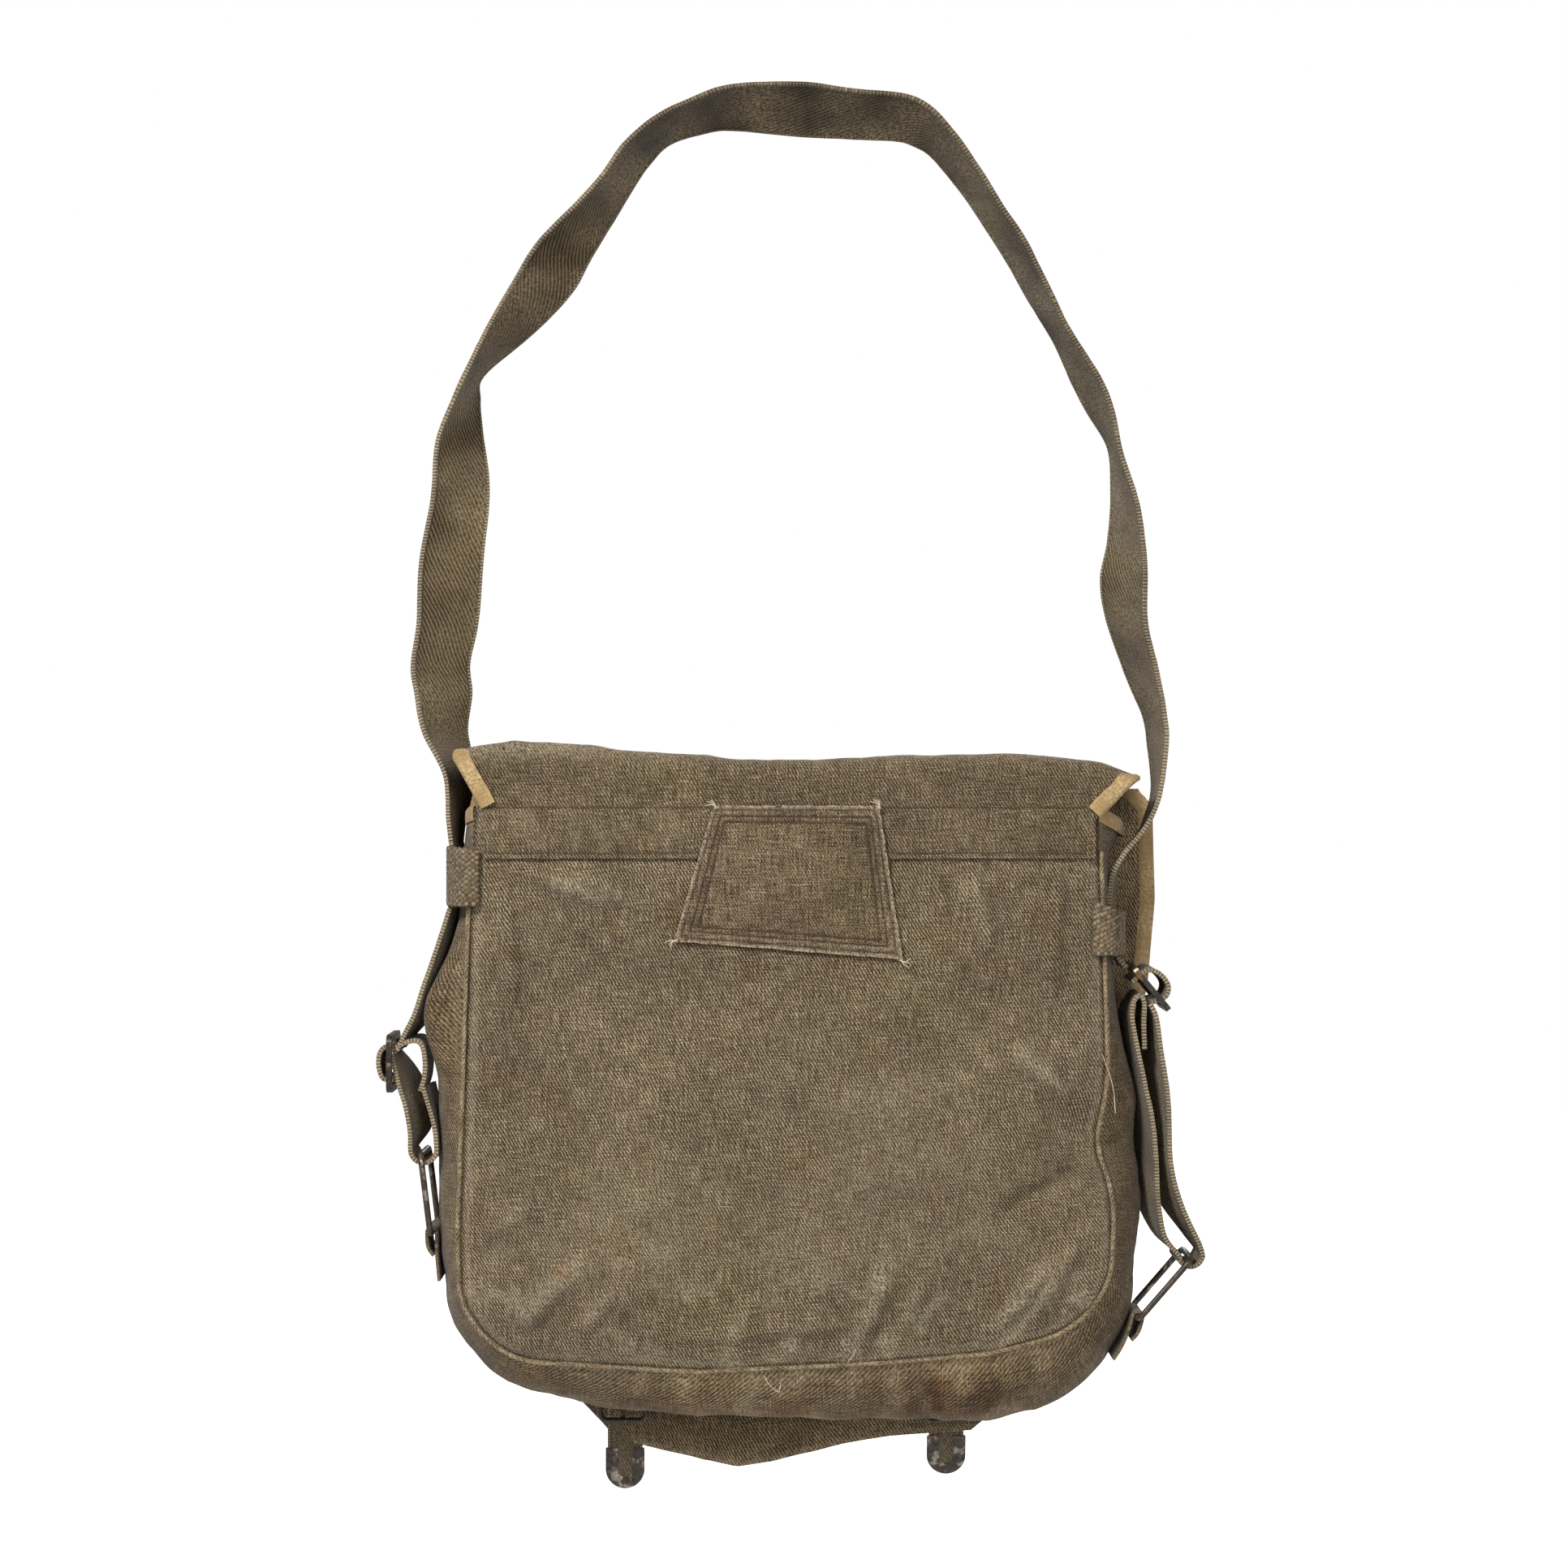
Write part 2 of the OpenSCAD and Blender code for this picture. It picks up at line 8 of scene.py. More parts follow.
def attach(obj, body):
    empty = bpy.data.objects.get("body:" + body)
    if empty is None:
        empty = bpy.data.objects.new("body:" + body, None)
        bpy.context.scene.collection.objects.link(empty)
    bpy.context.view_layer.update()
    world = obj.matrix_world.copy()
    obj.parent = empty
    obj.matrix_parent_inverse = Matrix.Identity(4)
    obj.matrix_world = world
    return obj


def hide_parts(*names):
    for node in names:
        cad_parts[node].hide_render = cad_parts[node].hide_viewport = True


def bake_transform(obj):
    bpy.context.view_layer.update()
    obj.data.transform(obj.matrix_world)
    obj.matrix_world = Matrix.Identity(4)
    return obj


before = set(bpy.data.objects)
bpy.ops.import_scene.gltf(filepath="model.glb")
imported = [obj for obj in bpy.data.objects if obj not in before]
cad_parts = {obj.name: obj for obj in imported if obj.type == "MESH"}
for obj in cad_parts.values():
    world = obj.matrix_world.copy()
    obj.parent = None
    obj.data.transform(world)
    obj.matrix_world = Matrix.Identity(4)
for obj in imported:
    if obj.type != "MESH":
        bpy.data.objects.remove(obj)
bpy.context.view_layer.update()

# ---- View and light ----
# The bag hangs in front of a white backdrop, above a pale floor, and is looked at from its
# back, level with the middle of bag and strap.
MM = 0.001
view_distance = 1.9
view_width = 0.879
view_height = -0.379
bag_middle = Vector((0, 0, -0.45))
camera = bpy.data.objects.new("camera", bpy.data.cameras.new("camera"))
camera.data.sensor_width = 36
camera.data.lens = 36 * view_distance / view_width
camera.location = (-0.001, -view_distance, view_height)
camera.rotation_euler = (math.pi / 2, 0, 0)
bpy.context.scene.collection.objects.link(camera)
bpy.context.scene.camera = camera
bpy.context.scene.view_settings.view_transform = "Standard"


def softbox(name, place, width, watts):
    """A square area light aimed at the middle of the bag."""
    lamp = bpy.data.objects.new(name, bpy.data.lights.new(name, "AREA"))
    lamp.data.size = width
    lamp.data.energy = watts
    lamp.location = place
    lamp.rotation_euler = (bag_middle - Vector(place)).to_track_quat("-Z", "Y").to_euler()
    bpy.context.scene.collection.objects.link(lamp)


softbox("key_light", (-1.0, -1.7, 1.0), 0.5, 60)
softbox("fill_light", (0.9, -2.2, 0.3), 1.0, 19)
softbox("front_light", (0.6, 2.0, 0.6), 1.4, 32)

world = bpy.data.worlds.new("studio")
bpy.context.scene.world = world
world.use_nodes = True
sky = world.node_tree
sky.nodes.clear()


def put(tree, kind, feeds=(), **settings):
    """A new shader node, with its settings and what feeds its inputs."""
    node = tree.nodes.new("ShaderNode" + kind)
    for name, value in settings.items():
        setattr(node, name, value)
    for key, value in dict(feeds).items():
        if isinstance(value, bpy.types.NodeSocket):
            tree.links.new(value, node.inputs[key])
        else:
            node.inputs[key].default_value = value
    return node


def maths(tree, operation, a, b=0.0, clamp=False):
    return put(tree, "Math", {0: a, 1: b}, operation=operation, use_clamp=clamp).outputs[0]


white = (1, 1, 1, 1)
seen = put(sky, "Background", {"Color": white, "Strength": 1.0}).outputs[0]
lit = put(sky, "Background", {"Color": white, "Strength": 0.26}).outputs[0]
either = put(sky, "MixShader", {0: put(sky, "LightPath").outputs["Is Camera Ray"], 1: lit, 2: seen})
put(sky, "OutputWorld", {0: either.outputs[0]})

floor_mesh = bpy.data.meshes.new("floor")
reach, floor_z = 4.0, -0.95
floor_corners = ((-reach, -reach), (reach, -reach), (reach, reach), (-reach, reach))
floor_mesh.from_pydata([(x, y, floor_z) for x, y in floor_corners], [], [(0, 1, 2, 3)])
floor = bpy.data.objects.new("floor", floor_mesh)
bpy.context.scene.collection.objects.link(floor)
paper = bpy.data.materials.new("floor_paper")
paper.use_nodes = True
finish = paper.node_tree.nodes["Principled BSDF"].inputs
for label, value in (("Base Color", (0.6, 0.6, 0.6, 1)), ("Roughness", 0.9), ("Emission Color", white)):
    finish[label].default_value = value
glow = maths(paper.node_tree, "MULTIPLY", put(paper.node_tree, "LightPath").outputs["Is Camera Ray"], 0.9)
paper.node_tree.links.new(glow, finish["Emission Strength"])
floor_mesh.materials.append(paper)

# ---- Back panel ----
# One piece of heavy linen canvas, sewn round three sides into the gusset. It is slack, so it
# bellies out a little, rolls in at the seam and is puckered by the stitching along the bottom.
MOUTH_W, BASE_W, BAG_H, BAG_D, CORNER_R = 342, 360, 314, 70, 40
MOUTH_Z = -392
SEAM_Z = MOUTH_Z - BAG_H
CORNER_Z = SEAM_Z + CORNER_R
CORNER_X = BASE_W / 2 - CORNER_R
BACK_Y, FRONT_Y = -BAG_D / 2, BAG_D / 2
CLOTH_T = 1.6


def tone(red, green, blue):
    """A colour on a 0 to 255 scale, as the linear values that shaders take."""
    return [((c / 255 + 0.055) / 1.055) ** 2.4 for c in (red, green, blue)] + [1.0]


def mixed(tree, factor, a, b, kind="MIX"):
    return put(tree, "Mix", {0: factor, 6: a, 7: b}, data_type="RGBA", blend_type=kind).outputs[2]


def ramp(tree, value, low, high):
    """0 below low, 1 above high, and a smooth step between."""
    return put(tree, "MapRange", {0: value, 1: low, 2: high, 3: 0.0, 4: 1.0},
               interpolation_type="SMOOTHSTEP").outputs[0]


def speckle(tree, at, scale, detail=3.0, rough=0.55):
    feeds = {"Vector": at, "Scale": scale, "Detail": detail, "Roughness": rough}
    return put(tree, "TexNoise", feeds).outputs[0]


def stretched(tree, at, across, along):
    """The cloth's coordinates, scaled apart, so that a noise runs along its threads."""
    return put(tree, "VectorMath", {0: at, 1: (across, along, 1.0)}, operation="MULTIPLY").outputs[0]


def effect(name, inputs, outputs):
    """An empty node group, with its input and output sockets."""
    tree = bpy.data.node_groups.new(name, "ShaderNodeTree")
    for label, kind, value in inputs:
        socket = tree.interface.new_socket(label, in_out="INPUT", socket_type="NodeSocket" + kind)
        socket.default_value = value
    for label, kind in outputs:
        tree.interface.new_socket(label, in_out="OUTPUT", socket_type="NodeSocket" + kind)
    return tree, tree.nodes.new("NodeGroupInput").outputs, tree.nodes.new("NodeGroupOutput").inputs


# Threads of a heavy twill: each crossing of two yarns has its own shade, some yarns are thicker
# for a stretch, and the crossings that float on top make slanting lines.
weave, got, gives = effect(
    "weave",
    [("Lay", "Vector", (0, 0, 0)), ("Deep", "Color", (0, 0, 0, 1)), ("Face", "Color", (0, 0, 0, 1)),
     ("Pale", "Color", (0, 0, 0, 1)), ("Twill", "Float", 0.3), ("Pitch", "Float", 0.0013),
     ("Slub", "Float", 1.0)],
    [("Color", "Color"), ("Height", "Float")])
drift = speckle(weave, got["Lay"], 45.0, 2.0)
strayed = put(weave, "CombineXYZ", {0: maths(weave, "MULTIPLY", drift, 0.0016),
                                    1: maths(weave, "MULTIPLY", drift, 0.0012)}).outputs[0]
loose = put(weave, "VectorMath", {0: got["Lay"], 1: strayed}, operation="ADD").outputs[0]
parts = put(weave, "SeparateXYZ", {0: loose}).outputs
slant = maths(weave, "ADD", maths(weave, "MULTIPLY", parts[0], 0.866),
              maths(weave, "MULTIPLY", parts[1], 0.5))
wander = maths(weave, "MULTIPLY", speckle(weave, got["Lay"], 420.0, 2.0), 3.2)
turns = maths(weave, "MULTIPLY", maths(weave, "DIVIDE", slant, got["Pitch"]), math.tau)
twill = maths(weave, "SINE", maths(weave, "ADD", turns, wander))
shade = maths(weave, "SUBTRACT", speckle(weave, loose, 1150.0, 1.0, 0.7), 0.5)
weft = maths(weave, "SUBTRACT", speckle(weave, stretched(weave, loose, 85, 1150), 1.0, 3.0, 0.6), 0.5)
warp = maths(weave, "SUBTRACT", speckle(weave, stretched(weave, loose, 1150, 70), 1.0, 3.0, 0.6), 0.5)
thick_yarn = maths(weave, "MULTIPLY", ramp(weave, speckle(
    weave, stretched(weave, loose, 42, 700), 1.0, 2.0), 0.64, 0.78), 0.5)
yarn = maths(weave, "ADD", maths(weave, "ADD", maths(weave, "MULTIPLY", weft, 1.4),
                                 maths(weave, "MULTIPLY", warp, 1.5)), maths(weave, "MULTIPLY", shade, 1.9))
yarn = maths(weave, "ADD", yarn, thick_yarn)
rise = maths(weave, "ADD", maths(weave, "MULTIPLY", yarn, got["Slub"]),
             maths(weave, "MULTIPLY", twill, got["Twill"]))
level = maths(weave, "ADD", rise, 0.5)
cloth_colour = mixed(weave, ramp(weave, level, 0.0, 0.85), got["Deep"], got["Face"])
weave.links.new(mixed(weave, ramp(weave, level, 0.75, 1.3), cloth_colour, got["Pale"]), gives["Color"])
weave.links.new(level, gives["Height"])

# Years of use: faded and darker patches, brown and green stains, rust, dirt and pale rubs.
# The dirt mark also carries painted shade on some pieces, which darkens the colour in the same way.
age, got, gives = effect(
    "age",
    [("Lay", "Vector", (0, 0, 0)), ("Color", "Color", (0, 0, 0, 1)), ("Soiled", "Float", 0.0),
     ("Worn", "Float", 0.0), ("Rusted", "Float", 0.0), ("Stains", "Float", 1.0),
     ("Rub", "Color", (0, 0, 0, 1))],
    [("Color", "Color"), ("Dirt", "Float")])
blotch = speckle(age, got["Lay"], 16.0, 6.0, 0.62)
faded = mixed(age, ramp(age, blotch, 0.3, 0.7), tone(218, 217, 215), tone(255, 255, 255))
aged = mixed(age, 1.0, got["Color"], faded, "MULTIPLY")
green = speckle(age, stretched(age, got["Lay"], 1, 0.8), 11.0, 4.0)
green = maths(age, "MULTIPLY", ramp(age, green, 0.5, 0.72), maths(age, "MULTIPLY", got["Stains"], 0.4))
aged = mixed(age, green, aged, mixed(age, 1.0, aged, tone(228, 240, 205), "MULTIPLY"))
brown = speckle(age, stretched(age, got["Lay"], 1.3, 1), 23.0, 5.0)
brown = maths(age, "MULTIPLY", ramp(age, brown, 0.55, 0.75), maths(age, "MULTIPLY", got["Stains"], 0.6))
aged = mixed(age, brown, aged, mixed(age, 1.0, aged, tone(238, 214, 178), "MULTIPLY"))
rusty = maths(age, "MULTIPLY", ramp(age, speckle(age, got["Lay"], 61.0, 2.0), 0.71, 0.78), got["Stains"])
rusty = maths(age, "ADD", maths(age, "MULTIPLY", rusty, 0.35), got["Rusted"], True)
aged = mixed(age, rusty, aged, mixed(age, 1.0, aged, tone(228, 178, 128), "MULTIPLY"))
# Dark patches: dirt, and painted shade where a piece's mark carries it.
patchy = ramp(age, maths(age, "ADD", got["Soiled"], maths(age, "MULTIPLY", maths(
    age, "SUBTRACT", speckle(age, got["Lay"], 120.0, 4.0), 0.5), 0.8)), 0.15, 1.0)
aged = mixed(age, maths(age, "MULTIPLY", patchy, 0.75), aged,
             mixed(age, 1.0, aged, tone(120, 104, 84), "MULTIPLY"))
rubbed = maths(age, "MULTIPLY", got["Worn"],
               ramp(age, speckle(age, got["Lay"], 520.0, 4.0, 0.7), 0.36, 0.68), clamp=True)
age.links.new(mixed(age, rubbed, aged, got["Rub"]), gives["Color"])
age.links.new(patchy, gives["Dirt"])


def cloth_material(name, deep, face, pale, twill, pitch, slub, stains=1.0, bump=0.5, selvage=0.0):
    """Woven cotton or linen. selvage is the half width in metres of a tape that has laddered edges."""
    material = bpy.data.materials.new(name)
    material.use_nodes = True
    tree = material.node_tree
    skin = tree.nodes["Principled BSDF"]
    lay = put(tree, "Attribute", attribute_name="lay").outputs["Vector"]
    threads = put(tree, "Group", node_tree=weave)
    for label, value in (("Deep", tone(*deep)), ("Face", tone(*face)), ("Pale", tone(*pale)),
                         ("Twill", twill), ("Pitch", pitch), ("Slub", slub)):
        threads.inputs[label].default_value = value
    tree.links.new(lay, threads.inputs["Lay"])
    colour, height = threads.outputs["Color"], threads.outputs["Height"]
    if selvage:
        rungs = put(tree, "Group", {"Lay": lay, "Color": colour, "Height": height, "Half": selvage},
                    node_tree=ladder)
        colour, height = rungs.outputs["Color"], rungs.outputs["Height"]
    use = put(tree, "Group", {
        "Lay": lay, "Color": colour, "Stains": stains, "Rub": tone(*[min(255, c + 26) for c in pale]),
        **{mark: put(tree, "Attribute", attribute_name=mark.lower()).outputs["Fac"]
           for mark in ("Worn", "Rusted", "Soiled")}}, node_tree=age)
    tree.links.new(use.outputs["Color"], skin.inputs["Base Color"])
    relief = put(tree, "Bump", {"Height": height, "Strength": bump, "Distance": 0.0006})
    tree.links.new(relief.outputs[0], skin.inputs["Normal"])
    tree.links.new(maths(tree, "SUBTRACT", 0.94, maths(tree, "MULTIPLY", use.outputs["Dirt"], 0.1)),
                   skin.inputs["Roughness"])
    skin.inputs["Specular IOR Level"].default_value = 0.22
    skin.inputs["Sheen Weight"].default_value = 0.12
    return material


def together(*parts):
    """Arrays put together as points, each spread to the shape of them all."""
    return np.stack(np.broadcast_arrays(*parts), -1)


def unit(ways):
    """Directions, each brought to a length of 1."""
    return ways / np.linalg.norm(ways, axis=-1, keepdims=True)


def solid(name, points, faces, flat, material, **marks):
    """A mesh through points in mm. flat is where each is on the flat cloth, and marks are worn and
    rusted places and dirt, which on some pieces is painted shade."""
    mesh = bpy.data.meshes.new(name)
    mesh.from_pydata((points * MM).tolist(), [], faces)
    mesh.attributes.new("lay", "FLOAT_VECTOR", "POINT").data.foreach_set("vector", flat.ravel())
    for label, amount in marks.items():
        mesh.attributes.new(label, "FLOAT", "POINT").data.foreach_set("value", amount)
    mesh.shade_smooth()
    mesh.materials.append(material)
    piece = bpy.data.objects.new(name, mesh)
    bpy.context.scene.collection.objects.link(piece)
    return piece


def cloth(name, grid, thick, material, lay=None, profile=None, **marks):
    """A closed layer of cloth about a grid of points in mm. lay is where each point is on the flat
    cloth, profile is the thickness's share across the grid, and marks are its marked places."""
    grid = np.asarray(grid, float)
    n, m = grid.shape[:2]
    normal = np.cross(np.gradient(grid, axis=0), np.gradient(grid, axis=1))
    normal /= np.maximum(np.linalg.norm(normal, axis=2, keepdims=True), 1e-9)
    half = thick / 2 * (np.ones(m) if profile is None else np.asarray(profile))[None, :, None]
    points = np.concatenate([(grid + normal * half).reshape(-1, 3), (grid - normal * half).reshape(-1, 3)])
    at = np.arange(n * m).reshape(n, m)
    face = np.stack([at[:-1, :-1], at[1:, :-1], at[1:, 1:], at[:-1, 1:]], -1).reshape(-1, 4)
    edge = np.concatenate([at[:, 0], at[-1, 1:], at[-2::-1, -1], at[0, -2:0:-1]])
    after = np.roll(edge, -1)
    rim = np.stack([after, edge, edge + n * m, after + n * m], -1)
    faces = np.concatenate([face, face[:, ::-1] + n * m, rim]).tolist()
    if lay is None:
        steps = [np.linalg.norm(np.diff(grid, axis=k), axis=2).mean(axis=1 - k) for k in (1, 0)]
        u, v = (np.concatenate([[0], np.cumsum(step)]) for step in steps)
        lay = together((u - u[-1] / 2)[None, :], v[:, None])
    flat = np.concatenate([np.asarray(lay, float) * MM, np.zeros((n, m, 1))], axis=2).reshape(-1, 3)
    marks = {label: np.tile(np.broadcast_to(np.asarray(amount, float), (n, m)).ravel(), 2)
             for label, amount in marks.items()}
    piece = solid(name, points, faces, np.tile(flat, (2, 1)), material, **marks)
    piece.data.set_sharp_from_angle(angle=1.0)
    return piece


def smoothstep(x, low, high):
    t = np.clip((np.asarray(x, float) - low) / (high - low), 0, 1)
    return t * t * (3 - 2 * t)


def rumple(x, z, scale, seed, detail=3):
    """Smooth unevenness from -1 to 1 over a cloth, in waves of about scale mm."""
    x, z = np.broadcast_arrays(np.asarray(x, float), np.asarray(z, float))
    values = [noise.fractal(Vector((a / scale, b / scale, seed)), 1.0, 2.0, detail)
              for a, b in zip(x.ravel(), z.ravel())]
    return np.array(values).reshape(x.shape)


def crease(x, z, at, to, width, height):
    """A soft ridge from one point to another, with its height fading at both ends."""
    (ax, az), (bx, bz) = at, to
    length = math.hypot(bx - ax, bz - az)
    dx, dz = (bx - ax) / length, (bz - az) / length
    along = ((x - ax) * dx + (z - az) * dz) / length
    off = (x - ax) * dz - (z - az) * dx
    fade = smoothstep(along, -0.15, 0.3) * (1 - smoothstep(along, 0.7, 1.15))
    return height * fade * np.exp(-(off / width) ** 2)


def half_width(z):
    """Half of the bag's width between its side seams, for a height above the bottom corners."""
    return MOUTH_W / 2 + (BASE_W - MOUTH_W) / 2 * (MOUTH_Z - z) / (MOUTH_Z - CORNER_Z)


def seam_gap(x, z):
    """How far a point of a panel is in from the nearest seam."""
    side = half_width(np.maximum(z, CORNER_Z)) - np.abs(x)
    corner = CORNER_R - np.hypot(np.abs(x) - CORNER_X, z - CORNER_Z)
    inside = np.minimum(side, z - SEAM_Z)
    return np.maximum(np.where((np.abs(x) > CORNER_X) & (z < CORNER_Z), corner, inside), 0)


def slump(x, y, z):
    """The real bag has gone out of shape: its bottom seam rides up at the back, most of all at
    the right, and its right side is dented. Gives the moved x and z."""
    back = np.clip((FRONT_Y - y) / BAG_D, 0, 1)
    lift = np.interp(x, [-180, -134, -50, 15, 68, 111, 145, 180], [15, 10, 5, 8, 11, 15, 23, 27])
    low = 1 - smoothstep(z, -706, -560)
    dent = -7 * np.exp(-((z + 577) / 24) ** 2) * smoothstep(x, 120, 176)
    tuck = np.where(x > 0, -4, 3) * smoothstep(np.abs(x), 120, 170) * (1 - smoothstep(z, -700, -620))
    return x + back * (dent + tuck), z + back * low * lift


def belly(x, z):
    """How far the back panel stands out from its seams' plane."""
    gap = seam_gap(x, z)
    low = smoothstep(-z, 430, 640)
    full = 5.5 * smoothstep(gap, 0, 70) * (0.35 + 0.65 * low)
    roll = 2.6 * smoothstep(gap, 0.5, 8)
    bottom = np.exp(-((z - SEAM_Z) / 26) ** 2)
    puckers = 3.4 * bottom * rumple(x, z * 0.22, 15, 3.1, 2) * smoothstep(gap, 0.5, 9)
    edge = 0.7 * np.exp(-((gap - 7) / 9) ** 2) * rumple(x * 0.6, z, 14, 8.4, 2)
    waves = 1.6 * rumple(x, z, 62, 1.7) + 0.6 * rumple(x, z, 17, 5.3)
    under_row = np.exp(-((z + 432) / 14) ** 2) * 2.4 * rumple(x, z * 0.4, 13, 6.6, 2)
    folds = sum(crease(x, z, *fold) for fold in (
        ((-148, -424), (-96, -446), 5, 2.4), ((-120, -424), (-70, -452), 4, 1.4),
        ((-156, -428), (-150, -500), 5, 2.2), ((-160, -500), (-157, -600), 6, 1.3),
        ((104, -426), (112, -470), 5, 1.8), ((150, -424), (146, -500), 5, 1.8),
        ((78, -424), (88, -452), 4, 1.2), ((170, -560), (120, -520), 7, 2.6),
        ((172, -590), (118, -622), 7, -2.0), ((-150, -690), (-112, -648), 6, 2.8),
        ((-118, -697), (-92, -660), 5, 2.0), ((40, -700), (58, -645), 5, 2.8),
        ((62, -700), (74, -662), 4, 1.8), ((-34, -704), (-20, -668), 5, 1.6),
        ((112, -700), (150, -655), 6, 2.6), ((140, -690), (166, -640), 6, 2.0),
        ((-172, -640), (-140, -612), 6, 1.6), ((-80, -690), (40, -684), 5, 1.5),
        ((20, -560), (110, -540), 14, 0.9)))
    free = smoothstep(-z, 419, 434)
    slack = (full + waves + 2.3 * folds) * smoothstep(gap, 0, 26) + under_row * smoothstep(gap, 0, 12)
    return roll + puckers + edge + slack * free


def back_face(x, z):
    """The y of the back panel's outer face."""
    return BACK_Y - 0.4 - belly(x, z)


def crowded(count, amount):
    """Values from -1 to 1, closer together near both ends."""
    share = np.linspace(-1, 1, count)
    return share * (1 + amount * (1 - share ** 2))


def panel_grid():
    """Rows and columns over a panel's outline, closer together near the seams."""
    upper = np.linspace(MOUTH_Z, CORNER_Z, 118)
    lower = CORNER_Z - CORNER_R * np.sin(np.linspace(0, math.pi / 2, 31))[1:]
    z = np.concatenate([upper, lower])
    reach_x = np.where(z >= CORNER_Z, half_width(z),
                       CORNER_X + np.sqrt(np.maximum(CORNER_R ** 2 - (z - CORNER_Z) ** 2, 0)))
    share = crowded(171, 0.16)
    return reach_x[:, None] * share[None, :], np.broadcast_to(z[:, None], (len(z), len(share))).copy()


def woolly(x, z, gap):
    """Pale rubbed places of a panel: along its seam, on its ridges and across its middle."""
    ridge = smoothstep(rumple(x, z, 24, 9.2), 0.15, 0.6) * 0.35
    return np.clip(0.22 * np.exp(-((gap - 4) / 2.2) ** 2) + ridge * np.exp(-((z - SEAM_Z) / 60) ** 2)
                   + 0.25 * smoothstep(belly(x, z), 6, 11), 0, 1)


px, pz = panel_grid()
gap = seam_gap(px, pz)
sx, sz = slump(px, BACK_Y, pz)
canvas = cloth_material("canvas", (56, 45, 30), (128, 111, 86), (186, 171, 142), 0.42, 0.0016, 1.0)
back_panel = cloth("back_panel_cloth", np.stack([sx, back_face(px, pz) + CLOTH_T / 2, sz], -1), CLOTH_T,
                   canvas, lay=np.stack([px, pz], -1), worn=woolly(px, pz, gap),
                   soiled=np.exp(-(gap / 1.5) ** 2),
                   rusted=0.95 * np.exp(-((px + 123) / 4) ** 2 - ((pz + 654) / 3.4) ** 2)
                   + 0.14 * smoothstep(rumple(px, pz, 26, 14.0), 0.3, 0.6))
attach(back_panel, "bag")
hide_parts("back_panel")

# ---- Front panel ----
# The same canvas on the other side, under the flap, so it is flatter, cleaner and darker. Its
# mouth is turned over and stitched down.
canvas_front = cloth_material("canvas_front", (56, 46, 33), (106, 92, 71), (158, 143, 118), 0.42, 0.0017, 1.0)
front_face = (FRONT_Y + 0.4 + 2.0 * smoothstep(gap, 0, 40)
              + 0.7 * rumple(px, pz, 55, 12.0) * smoothstep(gap, 0, 20))
front_panel = cloth("front_panel_cloth", np.stack([px, front_face - CLOTH_T / 2, pz], -1)[:, ::-1], CLOTH_T,
                    canvas_front, lay=np.stack([px, pz], -1)[:, ::-1],
                    soiled=0.8 * np.exp(-(gap / 2.2) ** 2)[:, ::-1])
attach(front_panel, "bag")
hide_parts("front_panel")

hem_x, hem_z = np.meshgrid(np.linspace(-MOUTH_W / 2, MOUTH_W / 2, 90),
                           np.linspace(MOUTH_Z + 1, MOUTH_Z - 22, 12))
hem_y = FRONT_Y + 2.9 + 0.4 * rumple(hem_x, hem_z, 20, 4.0)
front_hem = cloth("front_hem_cloth", np.stack([hem_x, hem_y, hem_z], -1)[:, ::-1], 1.1, canvas_front,
                  worn=0.3, soiled=0.0)
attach(front_hem, "bag")
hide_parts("front_hem")

# ---- Gusset ----
# One long strip of canvas makes both sides and the bottom. It stands out between its two
# seams, most of all along the bottom, where the bag's load has pushed it round.


def seam_stations():
    """Points of the seam line from the left of the mouth to the right, with the outward way."""
    step = 2.4
    side = np.linspace(MOUTH_Z, CORNER_Z, int((MOUTH_Z - CORNER_Z) / step))
    turn = np.linspace(0, math.pi / 2, 27)
    base = np.linspace(-CORNER_X, CORNER_X, int(2 * CORNER_X / step))
    left = np.stack([-half_width(side), side], -1)
    corner = np.stack([-CORNER_X - CORNER_R * np.cos(turn), CORNER_Z - CORNER_R * np.sin(turn)], -1)
    bottom = np.stack([base, np.full(len(base), float(SEAM_Z))], -1)
    half = np.concatenate([left[:-1], corner[:-1]])
    line = np.concatenate([half, bottom, half[::-1] * [-1, 1]])
    way = unit(np.gradient(line, axis=0))
    return line, np.stack([way[:, 1], -way[:, 0]], -1)


def run_along(line):
    """How far along a line of points each one is."""
    return np.concatenate([[0], np.cumsum(np.linalg.norm(np.diff(line, axis=0), axis=1))])


seam_line, seam_out = seam_stations()
seam_run = run_along(seam_line)
BULGE_AT = [0, 62, 80, 92, 105, 125, 160, 220, 250, 274, 305, 337, 380, 470, 550, 590, 617, 648, 680,
            710, 750, 790, 820, 850, 890, 930, 945, 954]
BULGE = [6, 9, 13, 16, 19, 19, 17, 15, 14, 11, 11, 18, 26, 30, 34, 37, 33, 20, 15,
         18, 21, 20, 13, 9, 7, 8, 14, 16]


def seam_at(run):
    """The x and z of the seam at run mm along it, and the x and z of the way out of the bag there."""
    return [np.interp(run, seam_run, line[:, k]) for line in (seam_line, seam_out) for k in (0, 1)]


def bulge(run, u):
    """How far the gusset stands out at run mm along the seam and u from -1 to 1 across."""
    crown = 1 - np.abs(u) ** 2.4
    near_seam = 1 - np.abs(u)
    gather = 0.8 * np.exp(-(near_seam / 0.22) ** 2) * rumple(run, u * 4, 9, 21.0, 2)
    loose = 1.6 * rumple(run, u * 25, 48, 17.0) + 0.5 * rumple(run, u * 30, 12, 18.0)
    low = np.interp(run, [80, 200, 330, 620, 800, 880], [0.25, 1, 1.5, 1.5, 1, 0.25])
    cheek = 12 * np.exp(-((run - 116) / 30) ** 2 - ((u + 0.64) / 0.24) ** 2)
    slack = (gather + loose * near_seam ** 0.5 * low) * crown ** 0.4
    return np.interp(run, BULGE_AT, BULGE) * crown + cheek + slack


